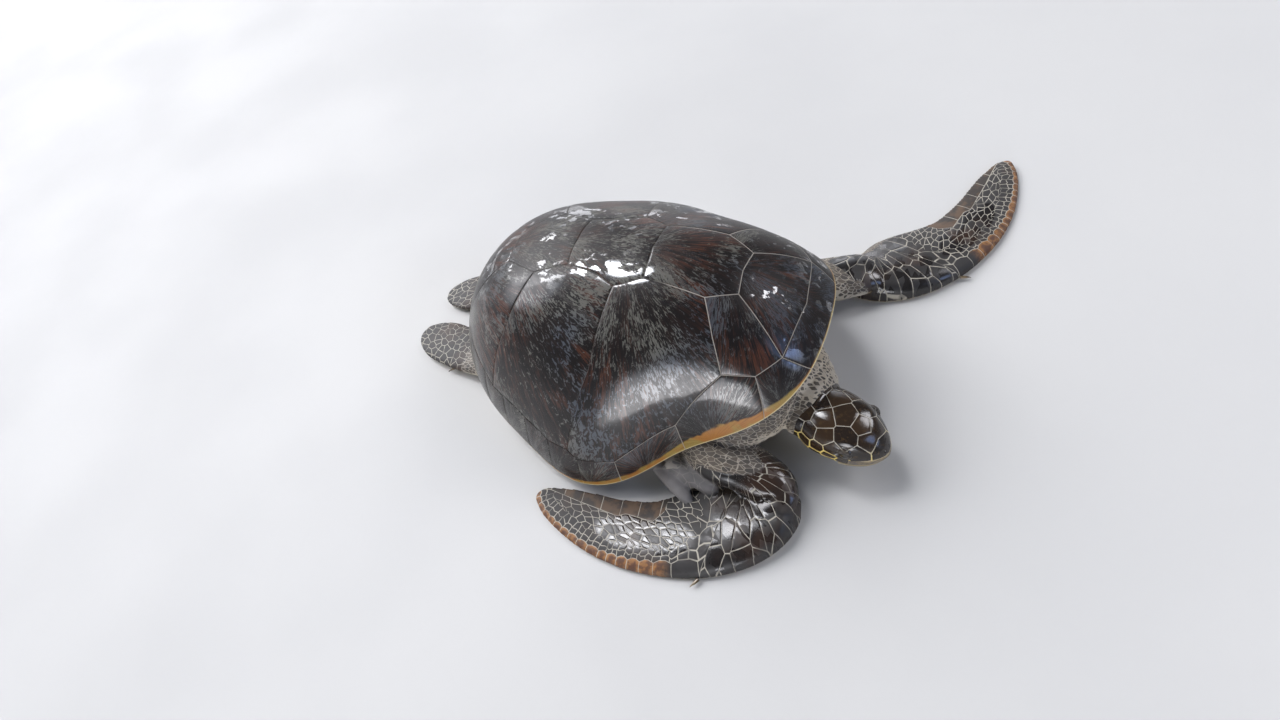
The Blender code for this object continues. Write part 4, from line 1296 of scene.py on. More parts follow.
def open_lids(made, side):
    """Draws the skin round one eye into a slit with an upper and a lower lid."""
    centre = np.array((EYE_PLACE[0], side * (EYE_PLACE[1] - EYE_INSET), EYE_PLACE[2]))
    ray = made - centre
    reach = np.linalg.norm(ray, axis=1)
    near = (ray[:, 1] * side > 0.22 * reach) & (reach < 0.036)
    ray, reach = ray[near], reach[near]
    level = ray[:, 1] * side
    across = np.maximum(np.hypot(ray[:, 0], ray[:, 2]), 1e-6)
    turn = np.arctan2(across, level)
    dx, dz = (EYE_RADIUS * turn / across) * ray[:, (0, 2)].T
    rise = dz - 0.12 * dx
    slit = np.sqrt((dx / 0.0136) ** 2 + (rise / np.where(rise > 0.0, 0.0084, 0.0068)) ** 2)
    onto = np.where((slit > 1.0) & (slit < 1.16), 1.035, slit)
    onto = np.where((slit > 0.82) & (slit <= 1.0), 0.965, onto)
    turned = turn * onto / np.maximum(slit, 1e-6)
    reach = np.where(onto == slit, reach, level / np.maximum(np.cos(turned), 0.2))
    off = np.sin(turned) / across
    ray = np.stack([ray[:, 0] * off, side * np.cos(turned), ray[:, 2] * off], 1)
    upper = smooth(rise, -0.001, 0.003)
    lid = EYE_RADIUS + 0.0007 + 0.0005 * bell(onto, 1.12, 0.10) + 0.0006 * upper
    lid -= (0.0006 + 0.0007 * upper) * bell(onto, 1.50, 0.09) - 0.0003 * bell(onto, 1.72, 0.10)
    lid = (reach**9 + lid**9) ** (1.0 / 9.0) - 0.0006 * bell(onto, 2.15, 0.14)
    made[near] = centre + ray * np.where(onto < 1.0, EYE_RADIUS - 0.0030, lid)[:, None]


def shape_head(own):
    """Brows, cheeks, lids, nostrils and the mouth line, as moves of the head's points in its own frame."""
    x, y, z = own.T
    side = np.where(y > 0.0, 1.0, -1.0)
    wide = np.abs(y)
    made = own.copy()
    brow = bell(x, 0.132, 0.026) * bell(z, 0.049, 0.014) * bell(wide, 0.045, 0.020)
    made[:, 2] += 0.0030 * brow
    made[:, 1] += side * 0.0022 * brow
    socket = bell(x, 0.138, 0.034) * bell(z, 0.022, 0.026) * smooth(wide, 0.035, 0.055)
    made[:, 1] += side * 0.0012 * socket
    snout = bell(x, 0.184, 0.020) * bell(z, 0.034, 0.018)
    made[:, 2] -= 0.0020 * snout
    cheek = bell(x, 0.062, 0.034) * bell(z, -0.012, 0.026) * smooth(wide, 0.04, 0.06)
    made[:, 1] += side * 0.0022 * cheek
    for which in (1.0, -1.0):
        open_lids(made, which)
    line = MOUTH_HEIGHT - 0.007 * smooth((0.150 - made[:, 0]) / 0.055) - 0.0006
    lips = bell(made[:, 2], line, 0.0017) * smooth(made[:, 0], 0.088, 0.100)
    pull = made * (0.0, 1.0, 1.0)
    pull = pull / np.maximum(np.linalg.norm(pull, axis=1, keepdims=True), 1e-4)
    made -= pull * (0.0026 * lips)[:, None]
    nostril = bell(wide, 0.0078, 0.0020) * bell(z, 0.0200, 0.0026) * smooth(made[:, 0], 0.180, 0.190)
    made[:, 0] -= 0.0046 * nostril
    made[:, 2] -= 0.0030 * nostril
    return made


def shape_skin(mesh):
    """Folds of neck and shoulder, and the head's features."""
    co = places(mesh)
    normal = normals_of(mesh)
    own = in_head(co)
    head = on_head(own)
    shell = co - np.array(ORIGIN)
    neck = (1.0 - head) * smooth(shell[:, 0], 0.27, 0.34) * smooth(shell[:, 2], 0.03, 0.055)
    neck *= bell(shell[:, 1] + 0.62 * (shell[:, 0] - 0.28), 0.0, 0.115)
    wobble = waves(co, 17.0, 2.0)
    run = own[:, 0] + 0.012 * wobble + 0.05 * own[:, 1]
    fold = np.cos(2.0 * math.pi * run / 0.0195)
    collar = bell(own[:, 0], -0.010, 0.0060)
    groove = bell(own[:, 0], 0.0035, 0.0036) + 0.8 * bell(own[:, 0], -0.0235, 0.0045)
    high = neck * (0.0016 * fold * (0.6 + 0.4 * waves(co, 9.0, 5.0)) - 0.0006)
    around = (np.abs(own[:, 1]) < 0.11) & (own[:, 0] > -0.06) & (own[:, 0] < 0.03) & (shell[:, 0] > 0.35)
    high += np.where(around, 0.0042 * collar - 0.0032 * groove, 0.0)
    soft = np.ones(len(co))
    scaled = np.zeros(len(co))
    for blade in BLADES:
        share = blade_share(*on_blade(co, *blade), co[:, 2])
        soft = np.minimum(soft, 1.0 - share)
        scaled = np.maximum(scaled, share)
    soft *= (1.0 - head) * (1.0 - lobe_share(co))
    crease = np.abs(waves(co, 20.0, 9.0, 3))
    crinkle = 0.0016 - 0.0042 * np.clip(0.30 - crease, 0.0, 1.0)
    high += soft * crinkle * smooth(shell[:, 2], 0.016, 0.03) * 0.8
    high += scaled * 0.0006 * (waves(co, 14.0, 4.0) - 1.0) * smooth(shell[:, 2], 0.006, 0.016)
    co += normal * high[:, None]
    own = in_head(co)
    inside = (own[:, 0] > 0.0) & (np.abs(own[:, 1]) < 0.1) & (np.abs(own[:, 2]) < 0.09)
    inside &= own[:, 0] < 0.23
    co[inside] = from_head(shape_head(own[inside]))
    co[:, 2] = np.maximum(co[:, 2], 0.0004)
    set_places(mesh, co)


def lobe_share(co):
    """How bare the skin is on the folds at the root of the right flipper."""
    lobes = np.zeros(len(co))
    for start, end, height, size, bare in LOBES:
        a = placed(*start, height[0], *BLADES[0])
        b = placed(*end, height[1], *BLADES[0])
        line = np.array(b - a)
        part = np.clip(((co - np.array(a)) @ line) / (line @ line), 0.0, 1.0)
        far = np.linalg.norm(co - np.array(a) - part[:, None] * line, axis=1)
        round_here = size * np.sqrt(np.maximum(0.04, 1.0 - part**6)) * (0.86 + 0.14 * part)
        lobes = np.maximum(lobes, bare * (1.0 - smooth(far, 1.00 * round_here, 1.14 * round_here)))
    return lobes


def blade_share(u, v, z):
    """1 over the scaled blade of a front flipper, 0 over its arm."""
    du, dv = u - FAN[0], v - FAN[1]
    turn = np.degrees(np.arctan2(-du, dv))
    fan = np.where(turn > -1.0, 1.0 - smooth(turn, 128.0, 150.0), 0.0)
    fan *= 1.0 - smooth(np.hypot(du, dv) - 0.30 * smooth(dv, -0.045, 0.02), 0.095, 0.110)
    ahead = smooth(dv + 0.07 * np.clip(du, 0.0, 0.16), -0.006, 0.006)
    blade = np.where(du > 0.0, ahead, fan)
    close = smooth(u, -0.012, -0.004) * (1.0 - smooth(u, BLADE_LENGTH + 0.004, BLADE_LENGTH + 0.012))
    steps = np.linspace(0.0, BLADE_LENGTH, 80)
    limit = np.interp(u, steps, [blade_edges(k)[0] for k in steps])
    return blade * close * (v < limit + 0.03) * (v > -0.090) * (z < 0.105)


def scale_rows():
    """The leading edge as a line, the pitch of its scales, and how much of each row has passed along it."""
    line = np.array([(k, blade_edges(k)[0]) for k in np.linspace(0.0005, BLADE_LENGTH, 120)])
    gaps = np.hypot(*np.diff(line, axis=0).T)
    outer = np.interp(line[:, 0], (0.18, 0.29, 0.40, 0.47, 0.60), (0.062, 0.044, 0.026, 0.030, 0.024))
    inner = np.interp(line[:, 0], (0.16, 0.27, 0.42, 0.60), (0.050, 0.0190, 0.0180, 0.0190))
    passed = [np.concatenate([[0.0], np.cumsum(gaps / pitch)]) for pitch in (1.0, outer[1:], inner[1:])]
    return line, outer, passed


def wrist_fan(u, v):
    """Large scales that fan out round a wrist: two coordinates of their cells, and a cell's size."""
    du, dv = u - FAN[0], v - FAN[1]
    radius = np.hypot(du, dv)
    a = np.where(du < 0.0, -np.arctan2(-du, dv) * 0.100 / 0.0215, du / 0.031)
    b = np.where(du < 0.0, radius, dv) / 0.056
    size = np.clip(np.where(du < 0.0, 0.215 * radius, 0.031), 0.010, 0.045)
    return a, b, size**0.65 * 0.056**0.35 + 0.25 * (1.0 - smooth(radius, 0.022, 0.050))


def scale_layout(co):
    """Cells and zones of the flippers' scales, each by the name under which the skin stores it."""
    count = len(co)
    made = {name: np.zeros((count, 3)) for name in ("flow", "fan")}
    made.update({name: np.zeros(count) for name in ("rowed", "scaled", "amber", "gloss")})
    made.update(row=np.full((count, 3), 50.0), calm=np.full((count, 3), -9.0), tall=np.ones(count))
    line, pitch, (arc, outer_run, inner_run) = scale_rows()
    for seed, blade in enumerate(BLADES):
        u, v = on_blade(co, *blade)
        share = blade_share(u, v, co[:, 2])
        use = share > 0.0
        u, v = u[use], v[use]
        a, b, size = wrist_fan(u, v)
        made["fan"][use] = np.stack([a + 20.0 * seed, b, size], 1)
        across = v / 0.0175
        slant = 0.55 * across + 20.0
        made["flow"][use] = np.stack([(u - 0.222) / 0.0205 + slant, across + 30.0 * seed, slant], 1)
        far, place = segment_distance(np.stack([u, v], 1), line, closed=False)
        at = np.interp(place, arc, line[:, 0])
        wide = np.interp(at, (0.16, 0.30, 0.45, 0.60), (0.040, 0.030, 0.0205, 0.0150))
        high = np.interp(at, (0.16, 0.28, 0.45, 0.60), (0.040, 0.0150, 0.0160, 0.0190))
        outer, inner = (np.interp(place, arc, run) + 40.0 * seed for run in (outer_run, inner_run))
        made["row"][use] = np.stack([outer, far / wide, inner], 1)
        made["tall"][use] = wide / high
        made["rowed"][use] = np.clip(0.5 + (u - 0.205 + 0.35 * (far - 0.01)) / 0.04, 0.0, 1.0)
        border = np.interp(u, *np.array(CALM_BORDER).T)
        local = np.interp(at, line[:, 0], pitch)
        made["calm"][use] = np.stack([u / CALM_PITCH + 7.0 * seed, (border - v) / 0.010, local], 1)
        made["amber"][use] = smooth(u, 0.27, 0.305)
        off = np.hypot((u - 0.345) / 0.135, (v - 0.100 + 0.10 * (u - 0.345)) / 0.050)
        gloss = 1.0 - smooth(off, 0.75, 1.10) + 0.8 * (1.0 - smooth(u, 0.17, 0.23))
        made["gloss"][use] = np.clip(gloss, 0.0, 1.0)
        made["scaled"] = np.maximum(made["scaled"], share)
    x, y, z = (co - np.array(ORIGIN)).T
    for side in (1.0, -1.0):
        off = y - side * (REAR_OUT - REAR_IN * np.clip((-x - 0.33) / 0.47, 0.0, 1.0) ** 1.5)
        use = (x < -0.555) & (z < 0.06) & (made["scaled"] == 0.0)
        use &= (np.abs(off) < 0.085) & (np.abs(y) > 0.02)
        made["flow"][use] = np.stack([60.0 - x / 0.024, off / 0.020 + 9.0 * side, np.zeros(count)], 1)[use]
        made["scaled"][use] = smooth(-x, 0.565, 0.585)[use]
    return made


def mark_skin(mesh):
    """Stores where each kind of scale and colour goes."""
    co = places(mesh)
    normal = normals_of(mesh)
    shell = co - np.array(ORIGIN)
    layout = scale_layout(co)
    own = in_head(co)
    head = on_head(own)
    throat = smooth(-own[:, 2], 0.020, 0.034) * head
    under = smooth(-normal[:, 2], 0.15, 0.55) * (1.0 - head)
    low = 1.0 - smooth(shell[:, 2], 0.0015, 0.0040)
    pale = np.maximum(np.maximum(under, low * (layout["scaled"] > 0.3)), throat)
    dark = 0.25 + 0.10 * waves(co, 12.0, 6.0)
    for blade in BLADES:
        u, v = on_blade(co, *blade)
        arm = smooth(0.21 - np.hypot(u - 0.11, v + 0.05), 0.0, 0.06) * smooth(normal[:, 2], -0.3, 0.3)
        dark = np.maximum(dark, arm)
    dark = np.maximum(dark, 0.95 * smooth(-shell[:, 0], 0.46, 0.53) * smooth(normal[:, 2], -0.2, 0.3))
    nape = smooth(own[:, 2], 0.01, 0.05) * smooth(own[:, 0], -0.09, -0.02) * (shell[:, 0] > 0.36)
    dark = np.maximum(dark, 0.55 * nape)
    eye = np.hypot(own[:, 0] - EYE_PLACE[0], own[:, 2] - EYE_PLACE[2]) + 0.0012 * waves(own, 160.0, 3.0)
    lids = (1.0 - smooth(eye, 0.0150, 0.0185)) * (np.abs(own[:, 1]) > 0.045) * head
    dark = np.clip(dark, 0.0, 1.0)
    set_attributes(mesh, own=own, head=head, lids=lids, pale=pale, dark=dark, lobe=lobe_share(co), **layout)


def blade_scales(nodes, place, tone):
    """Lines, tints and zones of a flipper's scales, from the layout stored on the skin."""
    flow = nodes.attribute("flow", "Vector")
    fan = nodes.attribute("fan", "Vector")
    row = nodes.split(nodes.attribute("row", "Vector"))
    calm = nodes.split(nodes.attribute("calm", "Vector"))
    tall, rowed = nodes.attribute("tall"), nodes.attribute("rowed")
    tint = nodes.split(nodes.cells(flow, part="Color", random=0.80))[0]
    beyond = nodes.split(nodes.cells(flow, part="Position", random=0.80))[0] > nodes.split(flow)[2]
    fan_line = nodes.cells(fan, random=0.80) * nodes.split(fan)[2]
    flow_line = nodes.pick(beyond, fan_line, nodes.cells(flow, random=0.80) * 0.0190)
    outer_line = nodes.cells_along(row[0], 0.5)
    border = 0.80 + nodes.least(outer_line, 0.34) * 0.60
    past = (row[1] - border) * tall
    inner = nodes.join(row[2], nodes.most(past, 0.5 - (0.5 - past) * 0.35))
    in_rows = nodes.split(nodes.cells(inner, part="Position", random=0.45))[1] < 2.0
    rows = rowed > 0.5
    outer = (row[1] < border) * rows
    in_calm = (calm[1] > 0.0) * rows
    to_border = abs(row[1] - border) * (tall * INNER_PITCH)
    line = nodes.pick(in_rows, flow_line, nodes.cells(inner, random=0.45) * INNER_PITCH)
    calm_line = nodes.cells_along(calm[0], 0.8) * CALM_PITCH
    line = nodes.least(nodes.pick(in_calm, line, calm_line), abs(calm[1]) * 0.010)
    line = nodes.least(nodes.pick(outer, line, outer_line * calm[2]), to_border)
    line = nodes.pick(rows, flow_line, nodes.least(line, abs(rowed - 0.5) * 0.04))
    seam = nodes.step(line * nodes.step(tone, 0.40, 0.62, 0.80, 1.30), 0.0005, 0.0011, 1.0, 0.0)
    seam = seam * nodes.step(nodes.noise(place, 31.0, 2.0, 0.5), 0.36, 0.50, 0.45, 1.0)
    core = nodes.least(outer_line, to_border * 45.0)
    return line, seam, tint, outer, core, in_calm * (1.0 - outer)


def blade_colour(s, nodes, place, tone, spots, pale, scales, seam):
    """Brown, amber and smoky scales of a flipper with their pale seams."""
    _, _, tint, outer, core, in_calm = scales
    brown = nodes.mix(nodes.step(tone, 0.45, 0.65), s.scale_dark, (0.032, 0.016, 0.009))
    brown = nodes.mix(tint * 0.35, brown, (0.026, 0.024, 0.024))
    gold = nodes.mix(nodes.step(spots, 0.42, 0.62), s.amber, (0.085, 0.035, 0.014))
    patchy = nodes.step(nodes.noise(place, 38.0, 2.0, 0.5), 0.40, 0.55, 0.25, 0.90)
    gold = nodes.mix(nodes.step(core, 0.08, 0.36) * patchy, gold, (0.060, 0.020, 0.008))
    cloud = nodes.step(nodes.noise(place, 26.0, 4.0, 0.6), 0.40, 0.62)
    smoky = nodes.mix(cloud, (0.016, 0.010, 0.006), (0.072, 0.038, 0.017))
    brown = nodes.mix(in_calm * 0.9, brown, smoky)
    scale = nodes.mix(outer * nodes.attribute("amber"), brown, gold)
    under = nodes.mix(nodes.step(tone, 0.42, 0.58), s.cream, (0.30, 0.235, 0.135))
    return nodes.mix(seam, nodes.mix(pale, scale, under), nodes.mix(pale, s.seam, s.cream))


def soft_scales(nodes, place, dark):
    """Small scales of the soft skin: distance to their borders, their tint, and where they show."""
    x, y, z = nodes.split(place)
    even = nodes.join(x, abs(y), z)
    grain = nodes.stretch(even, (62.0, 118.0, 118.0), rotation=(0.0, 0.0, math.radians(39.0)))
    line = nodes.cells(grain, flat=False)
    tint = nodes.split(nodes.cells(grain, part="Color", flat=False))[1]
    shown = nodes.step(line - (0.280 - dark * 0.235), -0.03, 0.03)
    return line, tint, shown * nodes.step(tint - dark, 0.28, 0.34, 1.0, 0.0)


def soft_colour(s, nodes, tone, dark, pale, tint, shown):
    """Cream skin under small brown scales."""
    soft = nodes.mix(nodes.step(tone, 0.35, 0.65), s.cream, (0.43, 0.39, 0.33))
    soft = nodes.mix(dark * 0.70, soft, (0.16, 0.145, 0.125))
    scale = nodes.mix(tint, (0.028, 0.023, 0.020), (0.085, 0.068, 0.050))
    return nodes.mix(shown * (1.0 - pale * 0.75), soft, scale)


def head_colour(s, nodes, plates, seam, high, spots, lids, pale, shown):
    """Brown plates of the head, with seams that go from yellow at the cheek to grey at the crown."""
    plate = nodes.mix(plates["Tint"], (0.014, 0.010, 0.008), (0.040, 0.023, 0.012))
    plate = nodes.mix(nodes.step(spots, 0.52, 0.70, 0.0, 0.5), plate, (0.075, 0.045, 0.018))
    lid = nodes.mix(nodes.step(spots, 0.40, 0.60), (0.018, 0.014, 0.011), (0.050, 0.040, 0.028))
    plate = nodes.mix(lids * 0.8, plate, lid)
    colour = nodes.mix(seam, plate, nodes.mix(nodes.step(high, 0.008, 0.040), s.yellow, (0.36, 0.33, 0.27)))
    return nodes.mix(pale * 0.92, colour, nodes.mix(shown, s.cream, (0.28, 0.21, 0.11)))


def skin_material():
    """Scaly skin: plates on the head, long scales on the flippers, small scales on soft skin elsewhere."""
    s = settings("turtle_skin")
    material, shader, nodes = new_material("Wet scaly skin")
    place = nodes.object_place()
    own = nodes.attribute("own", "Vector")
    wobble = nodes.noise(place, 60.0, 2.0, 0.5)
    tone = nodes.noise(place, 7.0, 3.0, 0.6)
    spots = nodes.noise(place, 95.0, 4.0, 0.65)
    scaled = nodes.step(nodes.attribute("scaled") + wobble * 0.3, 0.60, 0.70)
    head = nodes.step(nodes.attribute("head"), 0.45, 0.55)
    pale, dark = nodes.attribute("pale"), nodes.attribute("dark")
    lobe, lids = nodes.attribute("lobe"), nodes.attribute("lids")

    scales = blade_scales(nodes, place, tone)
    line, blade_seam, tint, _, _, in_calm = scales
    blade_seam = blade_seam * (1.0 - lobe)
    small, small_tint, shown = soft_scales(nodes, place, dark)
    plates = nodes.group("Head plates", Place=own)
    high = nodes.split(own)[2]
    plate_line = (plates["Line"] + (wobble - 0.5) * 0.0022) * nodes.step(high, 0.005, 0.050, 0.72, 1.9)
    head_seam = nodes.step(plate_line, 0.0018, 0.0032, 1.0, 0.0) * (1.0 - lids)

    blade = blade_colour(s, nodes, place, tone, spots, pale, scales, blade_seam)
    colour = nodes.mix(scaled, soft_colour(s, nodes, tone, dark, pale, small_tint, shown), blade)
    fold = nodes.mix(nodes.step(tone, 0.40, 0.60), (0.14, 0.132, 0.130), (0.23, 0.216, 0.212))
    colour = nodes.mix(lobe * 0.90, colour, fold)
    crown = head_colour(s, nodes, plates, head_seam, high, spots, lids, pale, shown)
    colour = nodes.mix(head, colour, crown)

    bare = nodes.most(nodes.most(blade_seam * scaled, lobe), head_seam * head)
    wet = nodes.group("Wet film", Vector=place, Cover=0.78, Scale=15.0)["Film"] * (1.0 - bare * 0.75)
    wet = wet * (1.0 - in_calm * 0.6) * (1.0 - lids * 0.55)
    gloss = nodes.pick(scaled, 0.55, nodes.attribute("gloss") * nodes.step(tint, 0.30, 0.50, 0.45, 1.0))
    wet = wet * nodes.pick(head, gloss, 1.0) * (0.35 + nodes.most(scaled, head) * 0.65)

    pillow = nodes.step(line, -0.0012, 0.0050) * (scaled * (1.0 - lobe))
    beads = nodes.step(small, 0.0, 0.22) * (1.0 - nodes.most(scaled, lobe))
    folds = nodes.cells(nodes.stretch(own, (330.0, 330.0, 520.0)), flat=False)
    folds = nodes.step(folds, 0.0, 0.30) * (lids * 0.10)
    domes = nodes.step(plates["Line"], -0.002, 0.012) * (0.8 - lids * 0.8)
    relief = nodes.pick(head, pillow + beads * 0.6, domes + folds)
    fine = nodes.group("Fine grain", Vector=place, Scale=150.0)["Height"]
    nodes.fill(shader, {
        "Base Color": colour,
        "Roughness": nodes.step(wet, 0.0, 1.0, 0.62, 0.09) + spots * 0.06,
        "Specular IOR Level": 0.55,
        "Normal": nodes.bump(fine, 0.10, 0.0005, nodes.bump(relief, 0.50, 0.0010)),
    })
    return material


class TURTLE_OT_skin(Operator):
    """Build the one skin of head, neck, body, flippers and tail"""

    bl_idname = "turtle.skin"
    bl_label = "Skin"

    def execute(self, context):
        piece = skin_body()
        form = bmesh.new()
        form.from_mesh(piece.data)
        refine_head(form)
        form.to_mesh(piece.data)
        form.free()
        relaxed(piece.data, 7)
        shape_skin(piece.data)
        relaxed(piece.data, 1)
        thin_where_covered(piece)
        mark_skin(piece.data)
        piece.data.shade_smooth()
        flippers = [
            "%s_flipper_%s" % (end, side) for end in ("front", "rear") for side in ("left", "right")
        ]
        dress(piece, "skin", skin_material(), "trunk", "neck", "head", *flippers, "tail")
        return {"FINISHED"}


# ---------------------------------------------------------------- eyes, beak and claws


def eye_material():
    """A dark eye: black pupil, brown iris with fine rays, pale ring hidden under the lids."""
    material, shader, nodes = new_material("Dark wet eye")
    facing = nodes.attribute("facing", "Vector")
    across, up, _ = nodes.split(facing)
    rays = nodes.noise(nodes.stretch(facing, (40.0, 40.0, 4.0)), 1.0, 4.0, 0.6)
    reach = nodes.sum("SQRT", across**2.0 + up**2.0)
    iris = nodes.mix(nodes.step(rays, 0.35, 0.65), (0.040, 0.026, 0.012), (0.095, 0.070, 0.030))
    colour = nodes.mix(nodes.step(reach, 0.30, 0.36), (0.002, 0.002, 0.002), iris)
    colour = nodes.mix(nodes.step(reach, 0.56, 0.66), colour, (0.020, 0.016, 0.013))
    nodes.fill(shader, {
        "Base Color": colour, "Roughness": nodes.step(rays, 0.2, 0.8, 0.16, 0.24), "Coat Weight": 1.0,
        "Coat Roughness": 0.02, "Normal": nodes.bump(rays, 0.10, 0.0003),
    })
    return material


class TURTLE_OT_eyes(Operator):
    """Build the two eyes"""

    bl_idname = "turtle.eyes"
    bl_label = "Eyes"

    def execute(self, context):
        material = eye_material()
        for side, label in ((1.0, "left"), (-1.0, "right")):
            form = bmesh.new()
            bmesh.ops.create_uvsphere(form, u_segments=48, v_segments=32, radius=EYE_RADIUS - 0.0004)
            look = Vector((0.30, side * 0.93, 0.20)).normalized()
            facing = []
            for vert in form.verts:
                ahead = vert.co.normalized()
                across = Vector((0.0, 0.0, 1.0)).cross(look).normalized()
                facing.append((ahead.dot(across), ahead.dot(look.cross(across)), ahead.dot(look)))
                if facing[-1][2] > 0.86:
                    vert.co += look * 0.0009 * float(smooth(facing[-1][2], 0.86, 0.97))
            middle = Vector((EYE_PLACE[0], side * (EYE_PLACE[1] - EYE_INSET), EYE_PLACE[2]))
            place = head_matrix() @ Matrix.Translation(middle)
            bmesh.ops.transform(form, matrix=place, verts=form.verts)
            eye = new_piece("eyeball_" + label, form)
            set_attributes(eye.data, facing=facing)
            dress(eye, "eye", material, "eye_" + label)
        return {"FINISHED"}


def horn_edge_material(name, tint):
    """Matt to glossy horn with fine lengthwise grain, for beak and claws."""
    material, shader, nodes = new_material(name)
    place = nodes.object_place()
    grain = nodes.noise(nodes.stretch(place, (60.0, 60.0, 300.0), rotation=(0.3, 0.1, 0.4)), 1.0, 4.0, 0.6)
    blotch = nodes.noise(place, 42.0, 4.0, 0.6)
    colour = nodes.mix(nodes.step(grain, 0.36, 0.64), tint, tuple(0.55 * c for c in tint))
    colour = nodes.mix(nodes.step(blotch, 0.44, 0.62), colour, (0.050, 0.032, 0.018))
    worn = 1.0 - nodes.step(nodes.attribute("edge"), 0.0006, 0.0040)
    colour = nodes.mix(worn * 0.7, colour, settings("turtle_shell").cream)
    film = nodes.group("Wet film", Vector=place, Cover=0.55, Scale=30.0)["Film"]
    nodes.fill(shader, {
        "Base Color": colour, "Roughness": nodes.step(grain, 0.3, 0.7, 0.26, 0.40),
        "Coat Weight": film * 0.6, "Coat Roughness": 0.10, "Normal": nodes.bump(grain, 0.35, 0.0005),
    })
    return material


def beak_form(start, low, high, teeth):
    """A sheath of horn over the front of the head, between two heights, as a grid wrapped on the head."""
    form = bmesh.new()
    bmesh.ops.create_grid(form, x_segments=72, y_segments=12, size=1.0)
    place = head_matrix()
    edge = []
    for vert in form.verts:
        share, rise = vert.co.x, (vert.co.y + 1.0) / 2.0
        inwards = min(rise, 1.0 - rise)
        top = high
        if teeth:
            top = high - 0.0006 * (0.5 + 0.5 * math.cos(share * 62.0)) - 0.0002
        grow = 0.0005 - 0.0012 * (1.0 - smooth(inwards, 0.0, 0.22))
        vert.co = place @ front_spot(share, low + (top - low) * rise, start, grow)
        edge.append(inwards * abs(high - low))
    return form, edge


def front_spot(share, z, start, grow):
    """A place on the head's front at a height z; share runs from -1 at one rear edge round the nose to 1."""
    low, high = start / HEAD_LENGTH, 0.9995
    side = 1.0 if share >= 0.0 else -1.0
    for _ in range(26):
        t = (low + high) / 2.0
        wide, crown, chin = head_section(t)
        up = (crown if z > 0.0 else chin) + grow
        rest = 1.0 - min(1.0, abs(z) / up) ** HEAD_ROUND
        reach = (wide + grow) * rest ** (1.0 / HEAD_ROUND)
        forward = (t * HEAD_LENGTH - start) / (HEAD_LENGTH - start)
        if abs(z) >= up or math.atan2(reach / 0.068, max(forward, 1e-4)) < abs(share) * math.pi / 2.0:
            high = t
        else:
            low = t
    return Vector((t * HEAD_LENGTH + grow, side * reach, z))


class TURTLE_OT_beak(Operator):
    """Build the horny sheaths of the upper and lower beak"""

    bl_idname = "turtle.beak"
    bl_label = "Beak"

    def execute(self, context):
        material = horn_edge_material("Beak horn", (0.235, 0.180, 0.095))
        for name, start, low, high, teeth in (
            ("upper", 0.1505, -0.0132, 0.0116, False),
            ("lower", 0.1325, -0.0340, -0.0150, True),
        ):
            form, edge = beak_form(start, low, high, teeth)
            bmesh.ops.recalc_face_normals(form, faces=form.faces)
            piece = new_piece("sheath_" + name, form)
            set_attributes(piece.data, edge=edge)
            thickened(piece, 0.0022)
            dress(piece, "beak", material, "beak_" + name)
        return {"FINISHED"}


class TURTLE_OT_claws(Operator):
    """Build the claw of each flipper"""

    bl_idname = "turtle.claws"
    bl_label = "Claws"

    def execute(self, context):
        material = horn_edge_material("Claw horn", (0.20, 0.150, 0.085))
        made = []
        for label, blade in zip(("right", "left"), BLADES):
            side = blade[2]
            root = placed(0.215, 0.187, 0.010, *blade) - ORIGIN
            tip = placed(0.232, 0.205, 0.009, *blade) - ORIGIN
            made.append(("front_" + label, root, (tip - root).normalized(), 0.0195, 0.0043))
            away = Vector((-0.7, side * 0.7, 0.0)).normalized()
            made.append(("rear_" + label, Vector((-0.621, side * 0.184, 0.014)), away, 0.0155, 0.0038))
        for label, root, aim, length, thick in made:
            stations = []
            for along, rise, wide, high in (
                (-0.006, 0.0, thick, thick * 0.9),
                (length * 0.25, 0.0, thick * 0.86, thick * 0.8),
                (length * 0.6, 0.0006, thick * 0.52, thick * 0.5),
                (length, -0.0016, 0.0008, 0.0008),
            ):
                stations.append((*(root + aim * along + Vector((0.0, 0.0, rise))), wide, high))
            form = bmesh.new()
            loft(form, tube_rings(eased(stations, 20), 20))
            claw = new_piece("nail_" + label, form)
            set_attributes(claw.data, edge=np.full(len(claw.data.vertices), 0.01))
            dress(claw, "claw", material, "claw_" + label)
        return {"FINISHED"}


# ---------------------------------------------------------------- studio


# Soft patches of the sky: turn and lift in degrees, radius of their core and of their edge, power and tint.
PATCHES = (
    ((-80.0, 0.0), 4.0, 27.0, 10.0, (0.98, 0.97, 1.0)),
    ((114.0, 6.0), 8.0, 34.0, 2.6, (0.93, 0.94, 1.0)),
    ((154.0, 61.0), 4.5, 9.0, 24.0, (0.97, 0.97, 1.0)),
    ((186.0, 36.0), 6.0, 22.0, 6.0, (0.96, 0.95, 1.0)),
    ((-4.0, 26.0), 3.0, 14.0, 4.0, (0.40, 0.56, 1.0)),
)
# Camera: where it stands from the shell's middle, and its turn, downward tilt and roll.
CAMERA_PLACE = (0.6268, -0.8610, 1.4197)
CAMERA_TURN, CAMERA_TILT, CAMERA_ROLL = 2.2687, 0.9172, -0.4043


def direction(turn, lift):
    """Unit vector from a turn round z and a lift above the floor, in degrees."""
    turn, lift = math.radians(turn), math.radians(lift)
    return Vector((math.cos(turn) * math.cos(lift), math.sin(turn) * math.cos(lift), math.sin(lift)))


